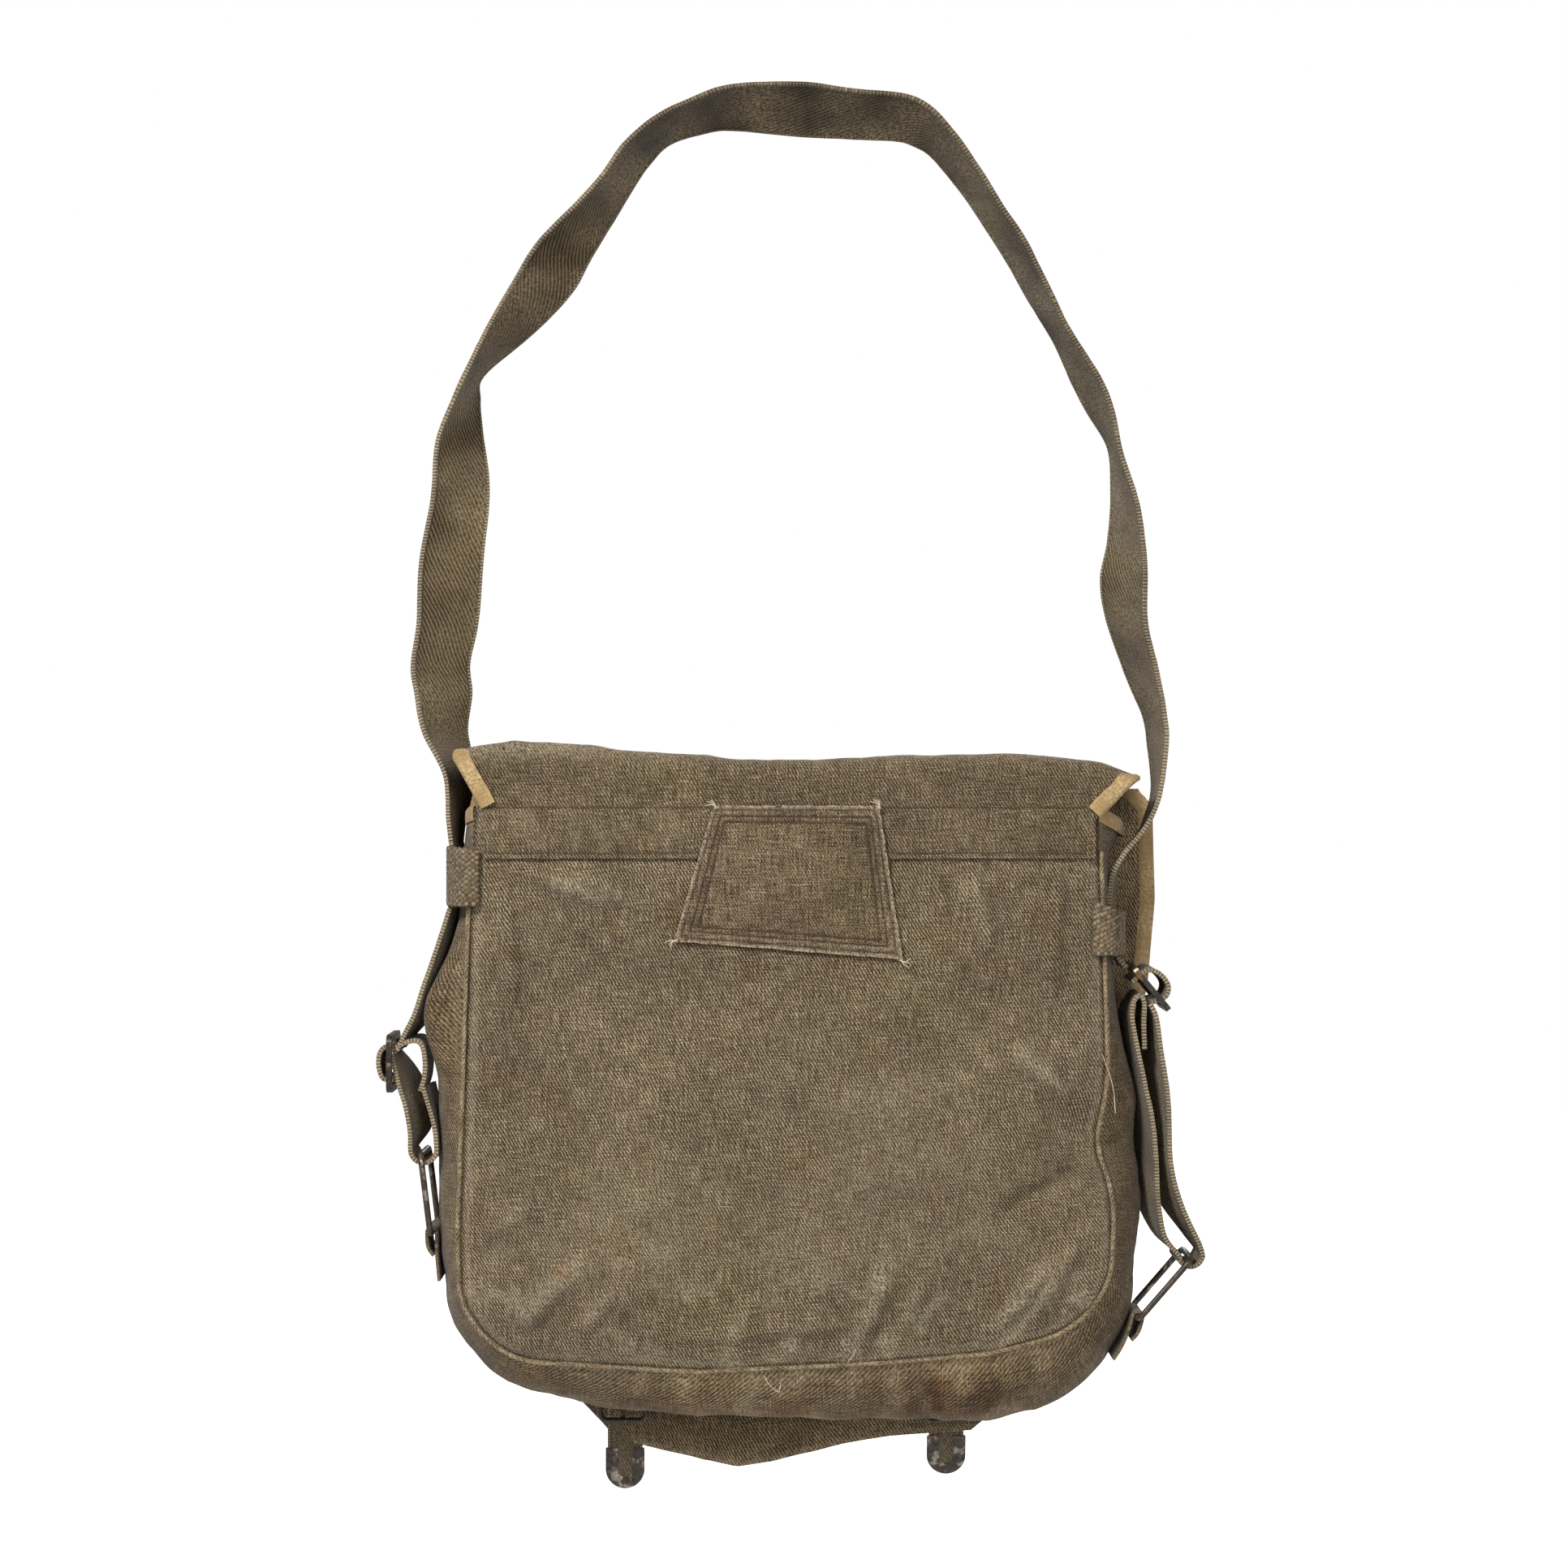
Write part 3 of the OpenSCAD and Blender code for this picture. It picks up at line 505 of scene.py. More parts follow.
def gusset_point(run, u):
    """A point of the gusset's outer face, in mm."""
    x, z, ox, oz = seam_at(run)
    y = u * (BAG_D / 2)
    out = bulge(run, u)
    x, z = slump(x, y, z)
    droop = (3 * smoothstep(-run, -30, 0) + 10 * smoothstep(run, 922, 954)) * (1 - u ** 2)
    return together(x + ox * out, y, z + oz * out - droop)


run_at, u_at = np.meshgrid(seam_run, np.clip(crowded(41, 0.12), -1, 1), indexing="ij")
grid = gusset_point(run_at, u_at)
# The gusset's canvas is browner than the back's, and also lighter, to make up for the shade on its bottom,
# which faces down: painted light.
canvas_side = cloth_material("canvas_side", (60, 47, 30), (140, 118, 86), (192, 171, 135), 0.36, 0.0016,
                             1.0, 1.2)
bottomness = smoothstep(run_at, 300, 370) * (1 - smoothstep(run_at, 590, 660))
worn = 0.25 * np.exp(-((1 - np.abs(u_at)) / 0.12) ** 2) + 0.25 * bottomness * smoothstep(
    rumple(run_at, u_at * 30, 16, 30.0), 0.0, 0.5)
soiled = (0.9 * np.exp(-((1 - np.abs(u_at)) / 0.03) ** 2)
          + 0.45 * bottomness * smoothstep(rumple(run_at, u_at * 30, 40, 33.0), 0.05, 0.5)
          + 0.7 * np.exp(-((run_at - 585) / 26) ** 2 - ((u_at + 0.55) / 0.25) ** 2)
          + 0.55 * (1 - bottomness))
gusset = cloth("gusset_cloth", grid, 1.4, canvas_side, lay=np.stack([u_at * 38, run_at], -1),
               worn=np.clip(worn, 0, 1), soiled=np.clip(soiled, 0, 1),
               rusted=0.28 * bottomness * smoothstep(rumple(run_at, u_at * 30, 30, 35.0), 0.1, 0.5)
               + 0.5 * np.exp(-((run_at - 560) / 42) ** 2 - ((u_at + 0.55) / 0.3) ** 2))
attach(gusset, "bag")
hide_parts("gusset")

# ---- Welts ----
# The seam allowance is folded over and top-stitched, which leaves a raised, rubbed roll just
# outside each panel's seam.


def rope(name, line, radius, material, up, sides=8, flat=1.0, **marks):
    """A solid roll of cloth along a line of points in mm, flattened along up by flat."""
    line = np.asarray(line, float)
    way = unit(np.gradient(line, axis=0))
    beside = unit(np.cross(way, np.broadcast_to(np.asarray(up, float), line.shape)))
    over = np.cross(beside, way)
    turn = np.arange(sides) / sides * math.tau
    radius = np.broadcast_to(radius, (len(line),))[:, None, None]
    ring = line[:, None] + radius * (np.cos(turn)[None, :, None] * beside[:, None]
                                     + flat * np.sin(turn)[None, :, None] * over[:, None])
    n = len(line)
    at = np.arange(n * sides).reshape(n, sides)
    nxt = np.roll(at, -1, axis=1)
    faces = np.stack([at[:-1], at[1:], nxt[1:], nxt[:-1]], -1).reshape(-1, 4).tolist()
    flat = together((turn * radius.mean())[None, :], run_along(line)[:, None], np.zeros((1, 1))) * MM
    marks = {label: np.repeat(np.broadcast_to(np.asarray(amount, float), (n,)), sides)
             for label, amount in marks.items()}
    faces += [at[0].tolist(), at[-1][::-1].tolist()]
    return solid(name, ring.reshape(-1, 3), faces, flat, material, **marks)


welt_run = np.arange(24, seam_run[-1] - 24, 1.6)
for side, y, node in ((-1, BACK_Y - 0.6, "back_welt"), (1, FRONT_Y + 0.6, "front_welt")):
    x, z, ox, oz = seam_at(welt_run)
    x, z = slump(x, y, z)
    out = 1.7 + 0.3 * rumple(welt_run, 0, 20, 41.0)
    line = np.stack([x + ox * out, np.full(len(x), y), z + oz * out], -1)
    radius = 1.25 + 0.25 * rumple(welt_run, 0, 5, 40.0 + side, 2)
    piece = rope(node + "_roll", line, radius, canvas_side, (0, 1, 0),
                 worn=np.clip(0.25 + 0.5 * rumple(welt_run, 0, 12, 43.0, 2), 0, 1), soiled=0.0)
    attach(piece, "bag")
    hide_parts(node)

# ---- Flap ----
# One big piece of the same canvas. Its edge is sewn flat across the back in two rows, it rises
# above the mouth, folds over the bag and hangs down the whole front, nearly to below the bottom.
FLAP_RISE, FLAP_REACH, FLAP_DROP, FLAP_LEAN = 28, 81, 400, math.radians(2.2)
HEM_H = 28
BAND_Y = BACK_Y - 4.6
FOLD_Y = BACK_Y + FLAP_REACH
RIDGE_R, FOLD_R = 8, 7
RIDGE_BEND = RIDGE_R * math.pi / 2
FRONT_FOLD_Z = -364.5
TOP_SPAN = FLAP_RISE + HEM_H - RIDGE_R + RIDGE_BEND + FLAP_REACH - 4 - FOLD_R
BAND_ROWS = (3, 28)


def ridge_height(x):
    """The z of the fold above the back, which sags in its middle and drops at its right end."""
    return np.interp(x, [-184, -172, -150, -108, -92, -43, -30, 15, 60, 128, 152, 174, 188, 198],
                     [-362, -359, -356, -358, -361, -364, -366, -366.5, -364, -363, -365, -368, -373, -377])


def fold_height(x):
    """The z of the fold above the front, just below the one above the back."""
    return np.minimum(FRONT_FOLD_Z, ridge_height(x) - 1.2)


def row_dip(run, width):
    """How much the band's two rows of stitches pull it in, from 0 to 1."""
    return sum(np.exp(-((run - row) / width) ** 2) for row in BAND_ROWS)


def flap_profile(x, run):
    """The y and z of the flap's outer face at run mm from the lower edge of its sewn band, over
    the top fold. Two rows of stitches pull the band in, and it is crinkled between them."""
    ridge = ridge_height(x)
    wall = ridge - RIDGE_R - (MOUTH_Z - HEM_H)
    up = np.clip(run, 0, wall)
    turn = np.clip((run - wall) / RIDGE_BEND, 0, 1) * math.pi / 2
    over = np.maximum(run - wall - RIDGE_BEND, 0) / (TOP_SPAN - wall - RIDGE_BEND)
    inner_y = BAND_Y + RIDGE_R
    y = inner_y - RIDGE_R * np.cos(turn) + over * (FOLD_Y - FOLD_R + 2 - inner_y)
    z = MOUTH_Z - HEM_H + up + RIDGE_R * np.sin(turn)
    z = z + (fold_height(x) - ridge) * smoothstep(over, 0, 1) - 1.5 * np.sin(np.clip(over, 0, 1) * math.pi)
    on_band = 1 - smoothstep(run, 26, 34)
    lifted = smoothstep(run, 30, 52) * (1 - smoothstep(run, 70, 90))
    dip = row_dip(run, 1.5)
    y = y - on_band * (0.9 + 1.2 * rumple(x + 0.5 * run, run * 0.3, 10, 50.0, 2) * (1 - dip)) + 0.8 * dip
    y = y + lifted * (1.6 * rumple(x, run, 36, 52.0) - 0.6) - 0.6 * rumple(x, run, 9, 53.0, 2) * (1 - on_band)
    z = z + 0.5 * rumple(x, 0, 18, 54.0) * smoothstep(run, 40, 60)
    return y, z


def flap_edges(run):
    """The left and right x of the flap's back, which flares out from the seam up to the ridge. Over
    the top it draws in at the left, so that it clears the shoulder strap when it is lifted."""
    z = MOUTH_Z - HEM_H + np.minimum(run, 60)
    left = np.interp(z, [-393, -364], [-166, -182]) + 7 * smoothstep(run, 66, 120)
    return left, np.interp(z, [-399, -374], [170, 194])


run, share = np.meshgrid(np.concatenate([np.linspace(0, 70, 46), np.linspace(72, TOP_SPAN, 36)]),
                         np.linspace(0, 1, 181), indexing="ij")
left, right = flap_edges(run)
fx = left + (right - left) * share
fy, fz = flap_profile(fx, run)
sewn = 1 - smoothstep(run, 26, 34)
worn = (0.4 * np.exp(-((run - 62) / 7) ** 2)
        + 0.12 * sewn * smoothstep(rumple(fx + 0.5 * run, run * 0.3, 10, 50.0, 2), 0.0, 0.5))
canvas_flap = cloth_material("canvas_flap", (52, 42, 29), (119, 102, 77), (174, 157, 128), 0.34, 0.0016, 1.0)
flap_top = cloth("flap_top_cloth", np.stack([fx, fy + CLOTH_T / 2, fz], -1)[::-1], CLOTH_T, canvas_flap,
                 lay=np.stack([fx, run], -1)[::-1], worn=np.clip(worn, 0, 1)[::-1],
                 soiled=np.clip(0.55 * row_dip(run, 1.1) + 0.05 * sewn, 0, 1)[::-1])
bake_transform(flap_top)
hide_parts("flap_top", "flap_hem")

TURN_IN = 14
drop, share = np.meshgrid(np.linspace(-TURN_IN, FLAP_DROP, 170), np.linspace(0, 1, 150), indexing="ij")
hang = np.clip(drop, 0, None)
edge_l = np.interp(hang, [0, 20, 120, 200, 290, 340, 375, 392, FLAP_DROP],
                   [-175, -174, -174, -180, -180, -160, -124, -106, -98])
edge_r = np.interp(hang, [0, 8, 60, 110, 150, 290, 340, 375, 392, FLAP_DROP],
                   [195, 203, 204, 200, 189, 180, 164, 136, 118, 107])
fx = edge_l + (edge_r - edge_l) * share
long = np.interp(fx, [-190, -150, -110, -88, -68, -48, -27, -8, 10, 34, 60, 110, 150, 200],
                 [-22, -16, -9, -5, -0.5, 3.5, 5, 2.5, -1.5, -6, -9, -13, -18, -26])
hang = hang + long * smoothstep(hang, 250, FLAP_DROP)
swell = 2.5 * rumple(fx, hang, 90, 60.0) + 0.8 * rumple(fx, hang, 22, 61.0)
swell = swell * smoothstep(hang, 10, 120) + 5 * smoothstep(hang, 360, 400) * np.sin(fx / 26)
side_curl = 4 * smoothstep(np.abs(fx - 5), 165, 200) * smoothstep(hang, 20, 60)
fold = np.clip(1 + drop / TURN_IN, 0, 1) * math.pi / 2
fy = (FOLD_Y - FOLD_R * (1 - np.sin(fold)) + hang * math.sin(FLAP_LEAN) + swell - side_curl
      + np.clip(hang, 0, 4) * 0.3)
fz = (fold_height(fx) - 1 - FOLD_R * (1 - np.cos(fold))
      - hang * math.cos(FLAP_LEAN) * (1 - FOLD_R / FLAP_DROP))
# The hanging front's canvas is lighter than the rest, to make up for the shadow it lies in under the bag:
# painted light.
canvas_hang = cloth_material("canvas_hang", (62, 50, 35), (148, 128, 97), (192, 173, 140), 0.4, 0.0017, 1.0)
# A darker band across the flap, just below the gusset's bottom, is painted shadow of the bag; elsewhere the
# flap carries only a little dirt.
flap_front = cloth("flap_front_cloth", np.stack([fx, fy, fz], -1), CLOTH_T, canvas_hang,
                   lay=np.stack([fx, -drop], -1), worn=0.5 * np.exp(-((drop - FLAP_DROP) / 3) ** 2),
                   soiled=0.12 + 0.5 * smoothstep(hang, 345, 368) * (1 - smoothstep(hang, 374, 385)))
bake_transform(flap_front)
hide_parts("flap_front")

# Brown waxed thread, in lock stitches about 3 mm long, pulled down into the cloth.
thread = cloth_material("thread", (58, 42, 30), (92, 70, 50), (124, 102, 78), 0.0, 0.002, 0.4, 0.0, 0.2)


STITCH_ARCH = ((0.35, -0.5), (0.85, 0.1), (1.0, 0.35), (0.85, 0.1), (0.35, -0.5))


def stitches(name, lines, out, body, pitch=3.1, thick=0.42, proud=0.15):
    """Rows of stitches along lines of points in mm; out is the way that the cloth faces."""
    verts, faces, lay = [], [], []
    out = np.asarray(out, float)
    for line in lines:
        line = np.asarray(line, float)
        run = run_along(line)
        for k in range(int(run[-1] / pitch)):
            t = (k + np.array([0.1, 0.22, 0.5, 0.78, 0.9])) * pitch
            at = np.stack([np.interp(t, run, line[:, c]) for c in range(3)], -1)
            beside = unit(np.cross(unit(at[-1] - at[0]), out))
            base = len(verts)
            for j, (swell, lift) in enumerate(STITCH_ARCH):
                for a in np.arange(6) / 6 * math.tau:
                    verts.append(at[j] + out * (proud + lift * thick) + thick * swell
                                 * (math.cos(a) * beside + 0.8 * math.sin(a) * out))
                    lay.append((a * thick, t[j]))
            for j in range(4):
                for s in range(6):
                    p, q = base + j * 6 + s, base + j * 6 + (s + 1) % 6
                    faces.append((p, q, q + 6, p + 6))
            faces.append(tuple(base + s for s in range(5, -1, -1)))
            faces.append(tuple(base + 24 + s for s in range(6)))
    flat = np.concatenate([np.array(lay) * MM, np.zeros((len(lay), 1))], axis=1)
    piece = solid(name, np.array(verts), faces, flat, thread)
    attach(piece, body)


def band_row(height, x0, x1):
    x = np.linspace(x0, x1, 150)
    y, z = flap_profile(x, np.full(150, float(height)))
    return np.stack([x, y, z], -1)


low_row, high_row = BAND_ROWS
stitches("band_stitches", [band_row(low_row, -163, -60), band_row(low_row, 60, 166),
                           band_row(high_row, -163, -42), band_row(high_row, 54, 166)], (0, -1, 0), "bag")

# ---- Binding tape ----
# Tan cotton tape is folded over the raw edges of the flap and of the gusset's mouth and stitched
# through near its inner edge.
binding = cloth_material("binding", (132, 108, 72), (186, 156, 110), (214, 186, 138), 0.05, 0.0012,
                         0.45, 0.5, 0.35)
TAPE_W = 8


def smooth_line(points, per):
    """A curve through given points, with per steps between each two."""
    p = np.asarray(points, float)
    p = np.concatenate([p[:1], p, p[-1:]])
    t = np.arange(per)[:, None] / per
    runs = [0.5 * (2 * b + (c - a) * t + (2 * a - 5 * b + 4 * c - d) * t ** 2
                   + (3 * b - a - 3 * c + d) * t ** 3)
            for a, b, c, d in zip(p, p[1:], p[2:], p[3:])]
    return np.concatenate(runs + [p[-1:]])


def folded_tape(name, edge, inward, face, width=TAPE_W, stand=1.5):
    """Tape folded over a cloth's edge: down one face, round the edge and down the other."""
    section = [(width, 1.0), (width * 0.75, 1.12), (width * 0.4, 1.1), (1.0, 1.0), (-0.6, 0.45), (-0.8, -0.3),
               (0.6, -1.0), (width * 0.4, -1.1), (width * 0.75, -1.12), (width * 0.95, -1.0)]
    edge, inward, face = np.broadcast_arrays(*(np.asarray(a, float) for a in (edge, inward, face)))
    grid = np.stack([edge + inward * a + face * stand * b for a, b in section], axis=1)
    run = run_along(edge)
    place = np.arange(len(section))[None]
    grid += face[:, None] * 0.22 * rumple(run[:, None], place * 2.5, 6, 70.0)[..., None]
    rub = np.clip(0.3 + 0.5 * rumple(run[:, None], place, 12, 71.0), 0, 1)
    row = edge + inward * (width - 1.7) + face * stand * 1.12
    return cloth(name, grid, 0.8, binding, worn=rub, soiled=0.0), row


for side, last, inner in (("left", 0, 1.0), ("right", -1, -1.0)):
    run = np.linspace(28 if side == "left" else 23, TOP_SPAN - 2, 60)
    x = np.array(flap_edges(run)[last])
    y, z = flap_profile(x, run)
    edge = np.stack([x, y - 0.2, z], -1)
    way = unit(np.gradient(edge, axis=0))
    inward = np.array([inner, 0, 0]) * np.ones_like(edge)
    inward = unit(inward - way * (inward * way).sum(1, keepdims=True))
    face = np.cross(way, inward) * -inner
    piece, row = folded_tape("flap_top_tape_" + side, edge, inward, face)
    stitches(f"flap_top_tape_{side}_stitches", [row[8:]], face[30], "flap_top", 2.8, 0.3)
    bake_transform(piece)
    if side == "left":
        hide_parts("flap_top_binding")
    edge = np.stack([fx, fy, fz], -1)[4:, last]
    face = np.array([0, 1.0, 0]) * np.ones_like(edge)
    inward = np.cross(unit(np.gradient(edge, axis=0)), face) * -inner
    keep = drop[4:, 0] < FLAP_DROP - 110
    piece, row = folded_tape("flap_front_tape_" + side, edge[keep], inward[keep], face[keep])
    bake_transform(piece)
    if side == "left":
        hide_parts("flap_front_binding")

for side, end in (("left", 0.0), ("right", seam_run[-1])):
    u = np.linspace(-1, 1, 40)
    rim = gusset_point(np.full(40, end), u) + [0, 0, 0.6]
    face = np.cross(unit(np.gradient(rim, axis=0)), (0, 0, 1.0))
    piece, row = folded_tape("gusset_tape_" + side, rim, (0, 0, -1.0), face)
    stitches(f"gusset_tape_{side}_stitches", [row], face[20], "bag", 2.8, 0.3)
    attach(piece, "bag")
    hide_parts("gusset_binding_" + side)

# ---- Patch ----
# A mend of lighter, mauver canvas over the middle of the sewn band, held by two rows of
# stitches, with raised and frayed edges.
patch_cloth = cloth_material("patch_cloth", (56, 44, 31), (126, 107, 82), (176, 158, 131), 0.2, 0.0015,
                             1.15, 0.9)
PATCH_W, PATCH_H = 105, 80
tl, tr, bl, br = (np.array(corner, float) for corner in ((-39.5, -391), (51, -391), (-61, -465), (64, -475)))


def patch_at(s, t):
    """The x and z of a point of the patch, from its shares across and down."""
    s, t = s[..., None], t[..., None]
    return (1 - t) * ((1 - s) * tl + s * tr) + t * ((1 - s) * bl + s * br)


s, t = np.meshgrid(np.linspace(0, 1, 92), np.linspace(0, 1, 72))
ragged = rumple(s * 90, t * 80, 5, 80.0, 2) * 0.5
margin = np.minimum(np.minimum(s, 1 - s) * PATCH_W, np.minimum(t, 1 - t) * PATCH_H)
flat = patch_at(s, t) + (ragged * np.exp(-margin / 3))[..., None]
qx, qz = flat[..., 0], flat[..., 1]


def patch_face(x, z, margin):
    """The y of the patch's outer face: over the band and the panel, thick and raised at its edge."""
    lip = sum(high * np.exp(-((margin - inset) / wide) ** 2) for high, inset, wide in (
        (1.1, 0.8, 1.2), (1.3, 4.0, 1.1), (-0.6, 9.2, 1.1), (-0.5, 6.0, 0.9)))
    on_band = smoothstep(z, -424, -418)
    return np.minimum(back_face(x, z), BAND_Y) - 2.2 - on_band - lip - 0.35 * rumple(x, z, 10, 82.0)


pz_moved = slump(qx, BACK_Y, qz)[1]
rubbed_rim = 0.75 * np.exp(-(margin / 1.2) ** 2) + 0.15 * np.exp(-((margin - 4.6) / 0.9) ** 2)
dirty_rows = (0.9 * np.exp(-((margin - 9.3) / 1.1) ** 2) + 0.8 * np.exp(-((margin - 5.6) / 0.9) ** 2)
              + 0.8 * np.exp(-((margin - 2.4) / 0.7) ** 2) + 0.3 * rumple(qx, qz, 18, 83.0))
patch = cloth("patch_canvas", np.stack([qx, patch_face(qx, qz, margin) + 0.7, pz_moved], -1), 1.4,
              patch_cloth, lay=flat, worn=np.clip(rubbed_rim, 0, 1), soiled=np.clip(dirty_rows, 0, 1))
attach(patch, "bag")
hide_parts("back_patch")


def patch_row(inset):
    """A row of stitches that runs round the patch, inset from its edge."""
    u, v = inset / PATCH_W, inset / PATCH_H
    path = [(u, v), (1 - u, v), (1 - u, 1 - v), (u, 1 - v), (u, v)]
    lines = []
    for (s0, t0), (s1, t1) in zip(path, path[1:]):
        x, z = patch_at(np.linspace(s0, s1, 60), np.linspace(t0, t1, 60)).T
        lines.append(np.stack([x, patch_face(x, z, np.full(60, float(inset))), slump(x, BACK_Y, z)[1]], -1))
    return lines


stitches("patch_stitches", patch_row(6.2) + patch_row(9.2), (0, -1, 0), "bag", pitch=2.7)


def wisp(points, radius=0.28):
    """One loose end of yarn, along points in mm."""
    return rope("yarn", smooth_line(points, 5), radius, yarn_cloth, (0, 1, 0), sides=5, worn=1.0, soiled=0.0)


# Its corners have come undone into little tufts, and a few yarns hang out of the bag's seams.
yarn_cloth = cloth_material("loose_yarn", (150, 134, 108), (190, 176, 148), (216, 204, 180), 0.0, 0.002, 0.3,
                            0.0, 0.0)
wisps = []
for x, z, ways in ((51, -391, (70, 100, 125)), (-39, -391, (95, 120, 150)), (-61, -465, (190, 215, 160)),
                   (64, -476, (320, 350, 285))):
    y = float(patch_face(np.array(x), np.array(z), np.array(1.0)) - 0.3)
    z = float(slump(np.array(x), BACK_Y, np.array(z))[1])
    for k, way in enumerate(ways):
        a = math.radians(way)
        far = 3.5 + k
        wisps.append(wisp([(x - 2 * math.cos(a), y, z - 2 * math.sin(a)),
                           (x + 1.5 * math.cos(a), y - 0.6, z + 1.5 * math.sin(a)),
                           (x + far * math.cos(a + 0.5), y, z + far * math.sin(a + 0.5))]))
for points in (((174, -528), (177, -536), (180, -547), (181, -560)),
               ((-12, -704), (-9, -709), (-4, -713), (-3, -708)), ((34, -697), (38, -690), (35, -684))):
    wisps.append(wisp([(x, -37.6 - 0.8 * (k % 2), z) for k, (x, z) in enumerate(points)], 0.22))
bpy.context.view_layer.update()
with bpy.context.temp_override(active_object=wisps[0], selected_editable_objects=wisps):
    bpy.ops.object.join()
yarns = wisps[0]
yarns.name = "loose_yarns"
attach(yarns, "bag")

# ---- Webbing ----
# Herringbone cotton tape with laddered selvages. The shoulder strap is one length of it, which
# twists as it hangs, goes down through a keeper on each side, and turns round slider and ring.
ladder, got, gives = effect(
    "ladder",
    [("Lay", "Vector", (0, 0, 0)), ("Color", "Color", (0, 0, 0, 1)), ("Height", "Float", 0.5),
     ("Half", "Float", 0.019)],
    [("Color", "Color"), ("Height", "Float")])
parts = put(ladder, "SeparateXYZ", {0: got["Lay"]}).outputs
from_edge = maths(ladder, "SUBTRACT", got["Half"], maths(ladder, "ABSOLUTE", parts[0]))
at_edge = maths(ladder, "SUBTRACT", 1.0, ramp(ladder, from_edge, 0.0013, 0.0020))
rung = maths(ladder, "SINE", maths(ladder, "MULTIPLY", parts[1], math.tau / 0.0018))
groove = maths(ladder, "MULTIPLY", ramp(ladder, from_edge, 0.0015, 0.0021),
               maths(ladder, "SUBTRACT", 1.0, ramp(ladder, from_edge, 0.0023, 0.0032)))
pale = mixed(ladder, ramp(ladder, rung, -0.5, 0.6), tone(112, 98, 76), tone(176, 162, 136))
edged = mixed(ladder, at_edge, got["Color"], pale)
grooved = mixed(ladder, maths(ladder, "MULTIPLY", groove, 0.7), edged, tone(64, 54, 40))
stepped = maths(ladder, "ADD", got["Height"], maths(ladder, "MULTIPLY", at_edge, rung))
ladder.links.new(grooved, gives["Color"])
ladder.links.new(stepped, gives["Height"])

STRAP_W, STRAP_T, STRAP_Y = 38, 2.2, -4
webbing = cloth_material("webbing", (60, 48, 31), (112, 94, 66), (146, 127, 93), 0.55, 0.0021, 0.5, 0.5, 0.7,
                         selvage=STRAP_W / 2 * MM)
narrow_webbing = cloth_material("narrow_webbing", (78, 66, 50), (118, 104, 82), (152, 138, 112), 0.35, 0.0018,
                                0.5, 0.6, 0.7, selvage=10.5 * MM)
ACROSS = np.array([-1, -0.95, -0.89, -0.8, -0.6, -0.4, -0.2, 0, 0.2, 0.4, 0.6, 0.8, 0.89, 0.95, 1])
PLUMP = np.array([1.0, 1.25, 1.0, 0.85, 0.9, 0.95, 1, 1, 1, 0.95, 0.9, 0.85, 1.0, 1.25, 1.0])


def band(name, near, far, material, thick=STRAP_T, wide=STRAP_W, sag=0.5, **marks):
    """Webbing between two edge lines, each a list of points in mm."""
    near, far = np.asarray(near, float), np.asarray(far, float)
    share = ((ACROSS + 1) / 2)[None, :, None]
    grid = near[:, None] * (1 - share) + far[:, None] * share
    mid = (near + far) / 2
    run = run_along(mid)
    face = unit(np.cross(np.gradient(mid, axis=0), far - near))
    uneven = 0.35 * rumple(run[:, None], ACROSS[None] * 12, 22, 90.0)
    grid = grid + face[:, None] * (uneven + sag * (1 - ACROSS ** 2)[None])[..., None]
    lay = together((ACROSS * wide / 2)[None, :], run[:, None])
    marks.setdefault("worn", np.clip(0.25 + 0.5 * rumple(run[:, None], ACROSS[None] * 15, 30, 91.0), 0, 1))
    marks.setdefault("soiled", np.clip(0.15 + 0.5 * rumple(run[:, None], ACROSS[None] * 15, 55, 92.0), 0, 1))
    return cloth(name, grid, thick, material, lay=lay, profile=PLUMP, **marks)


def edge_on(name, path, material=webbing, wide=STRAP_W, thick=STRAP_T, y=STRAP_Y, per=8, **marks):
    """Webbing that is seen from its edge: it follows a path of x and z, and its width is along y.
    A third number at a point says how far its far edge is turned aside there."""
    line = smooth_line([(*p, 0)[:3] for p in path], per)
    depth = np.sqrt(wide ** 2 - line[:, 2] ** 2)
    near = np.stack([line[:, 0], np.full(len(line), y - wide / 2), line[:, 1]], -1)
    far = np.stack([line[:, 0] + line[:, 2], y - wide / 2 + depth, line[:, 1]], -1)
    return band(name, near, far, material, thick, wide, 0.0, **marks)


# Each station is the near edge's x and z, then the far edge's x and z, from left to right.
STATIONS = [
    [-185.4, -412, -183, -412], [-187, -398, -181, -398], [-189, -374, -176, -373],
    [-201, -350, -180, -349], [-206, -328, -177, -328], [-208, -313, -178, -311],
    [-205, -289, -173, -287], [-204, -256, -170, -253], [-197, -220, -167, -214],
    [-194, -191, -171, -183], [-187, -172, -173, -163], [-177, -150, -171, -148],
    [-163, -121, -142, -124], [-151, -98, -120, -102], [-138, -78, -110, -83],
    [-117, -57, -98, -62], [-102, -41, -87, -43], [-90, -24, -78, -29], [-73, -9, -66, -17],
    [-51, 2, -45, -10], [-30, 9, -30, -9], [9, 11, 9, -13], [36, 7, 38, -14], [65, 4, 62, -15],
    [80, -3, 73, -18], [93, -17, 83, -24], [108, -39, 98, -42], [121, -60, 111, -61],
    [134, -80, 123, -80], [148, -109, 139, -108], [159, -131, 152, -130], [174, -154, 163, -154],
    [181, -172, 172, -171], [186, -197, 183, -191], [195, -223, 184, -218],
    [199, -248, 182, -242], [200, -263, 178, -263], [200, -289, 181, -285],
    [206, -316, 191, -314], [210, -340, 202, -340], [211, -358, 205, -357],
    [207.5, -383, 207, -383], [201.5, -399, 203, -399], [195.5, -408, 199, -408],
    [188.5, -416, 193, -416]]


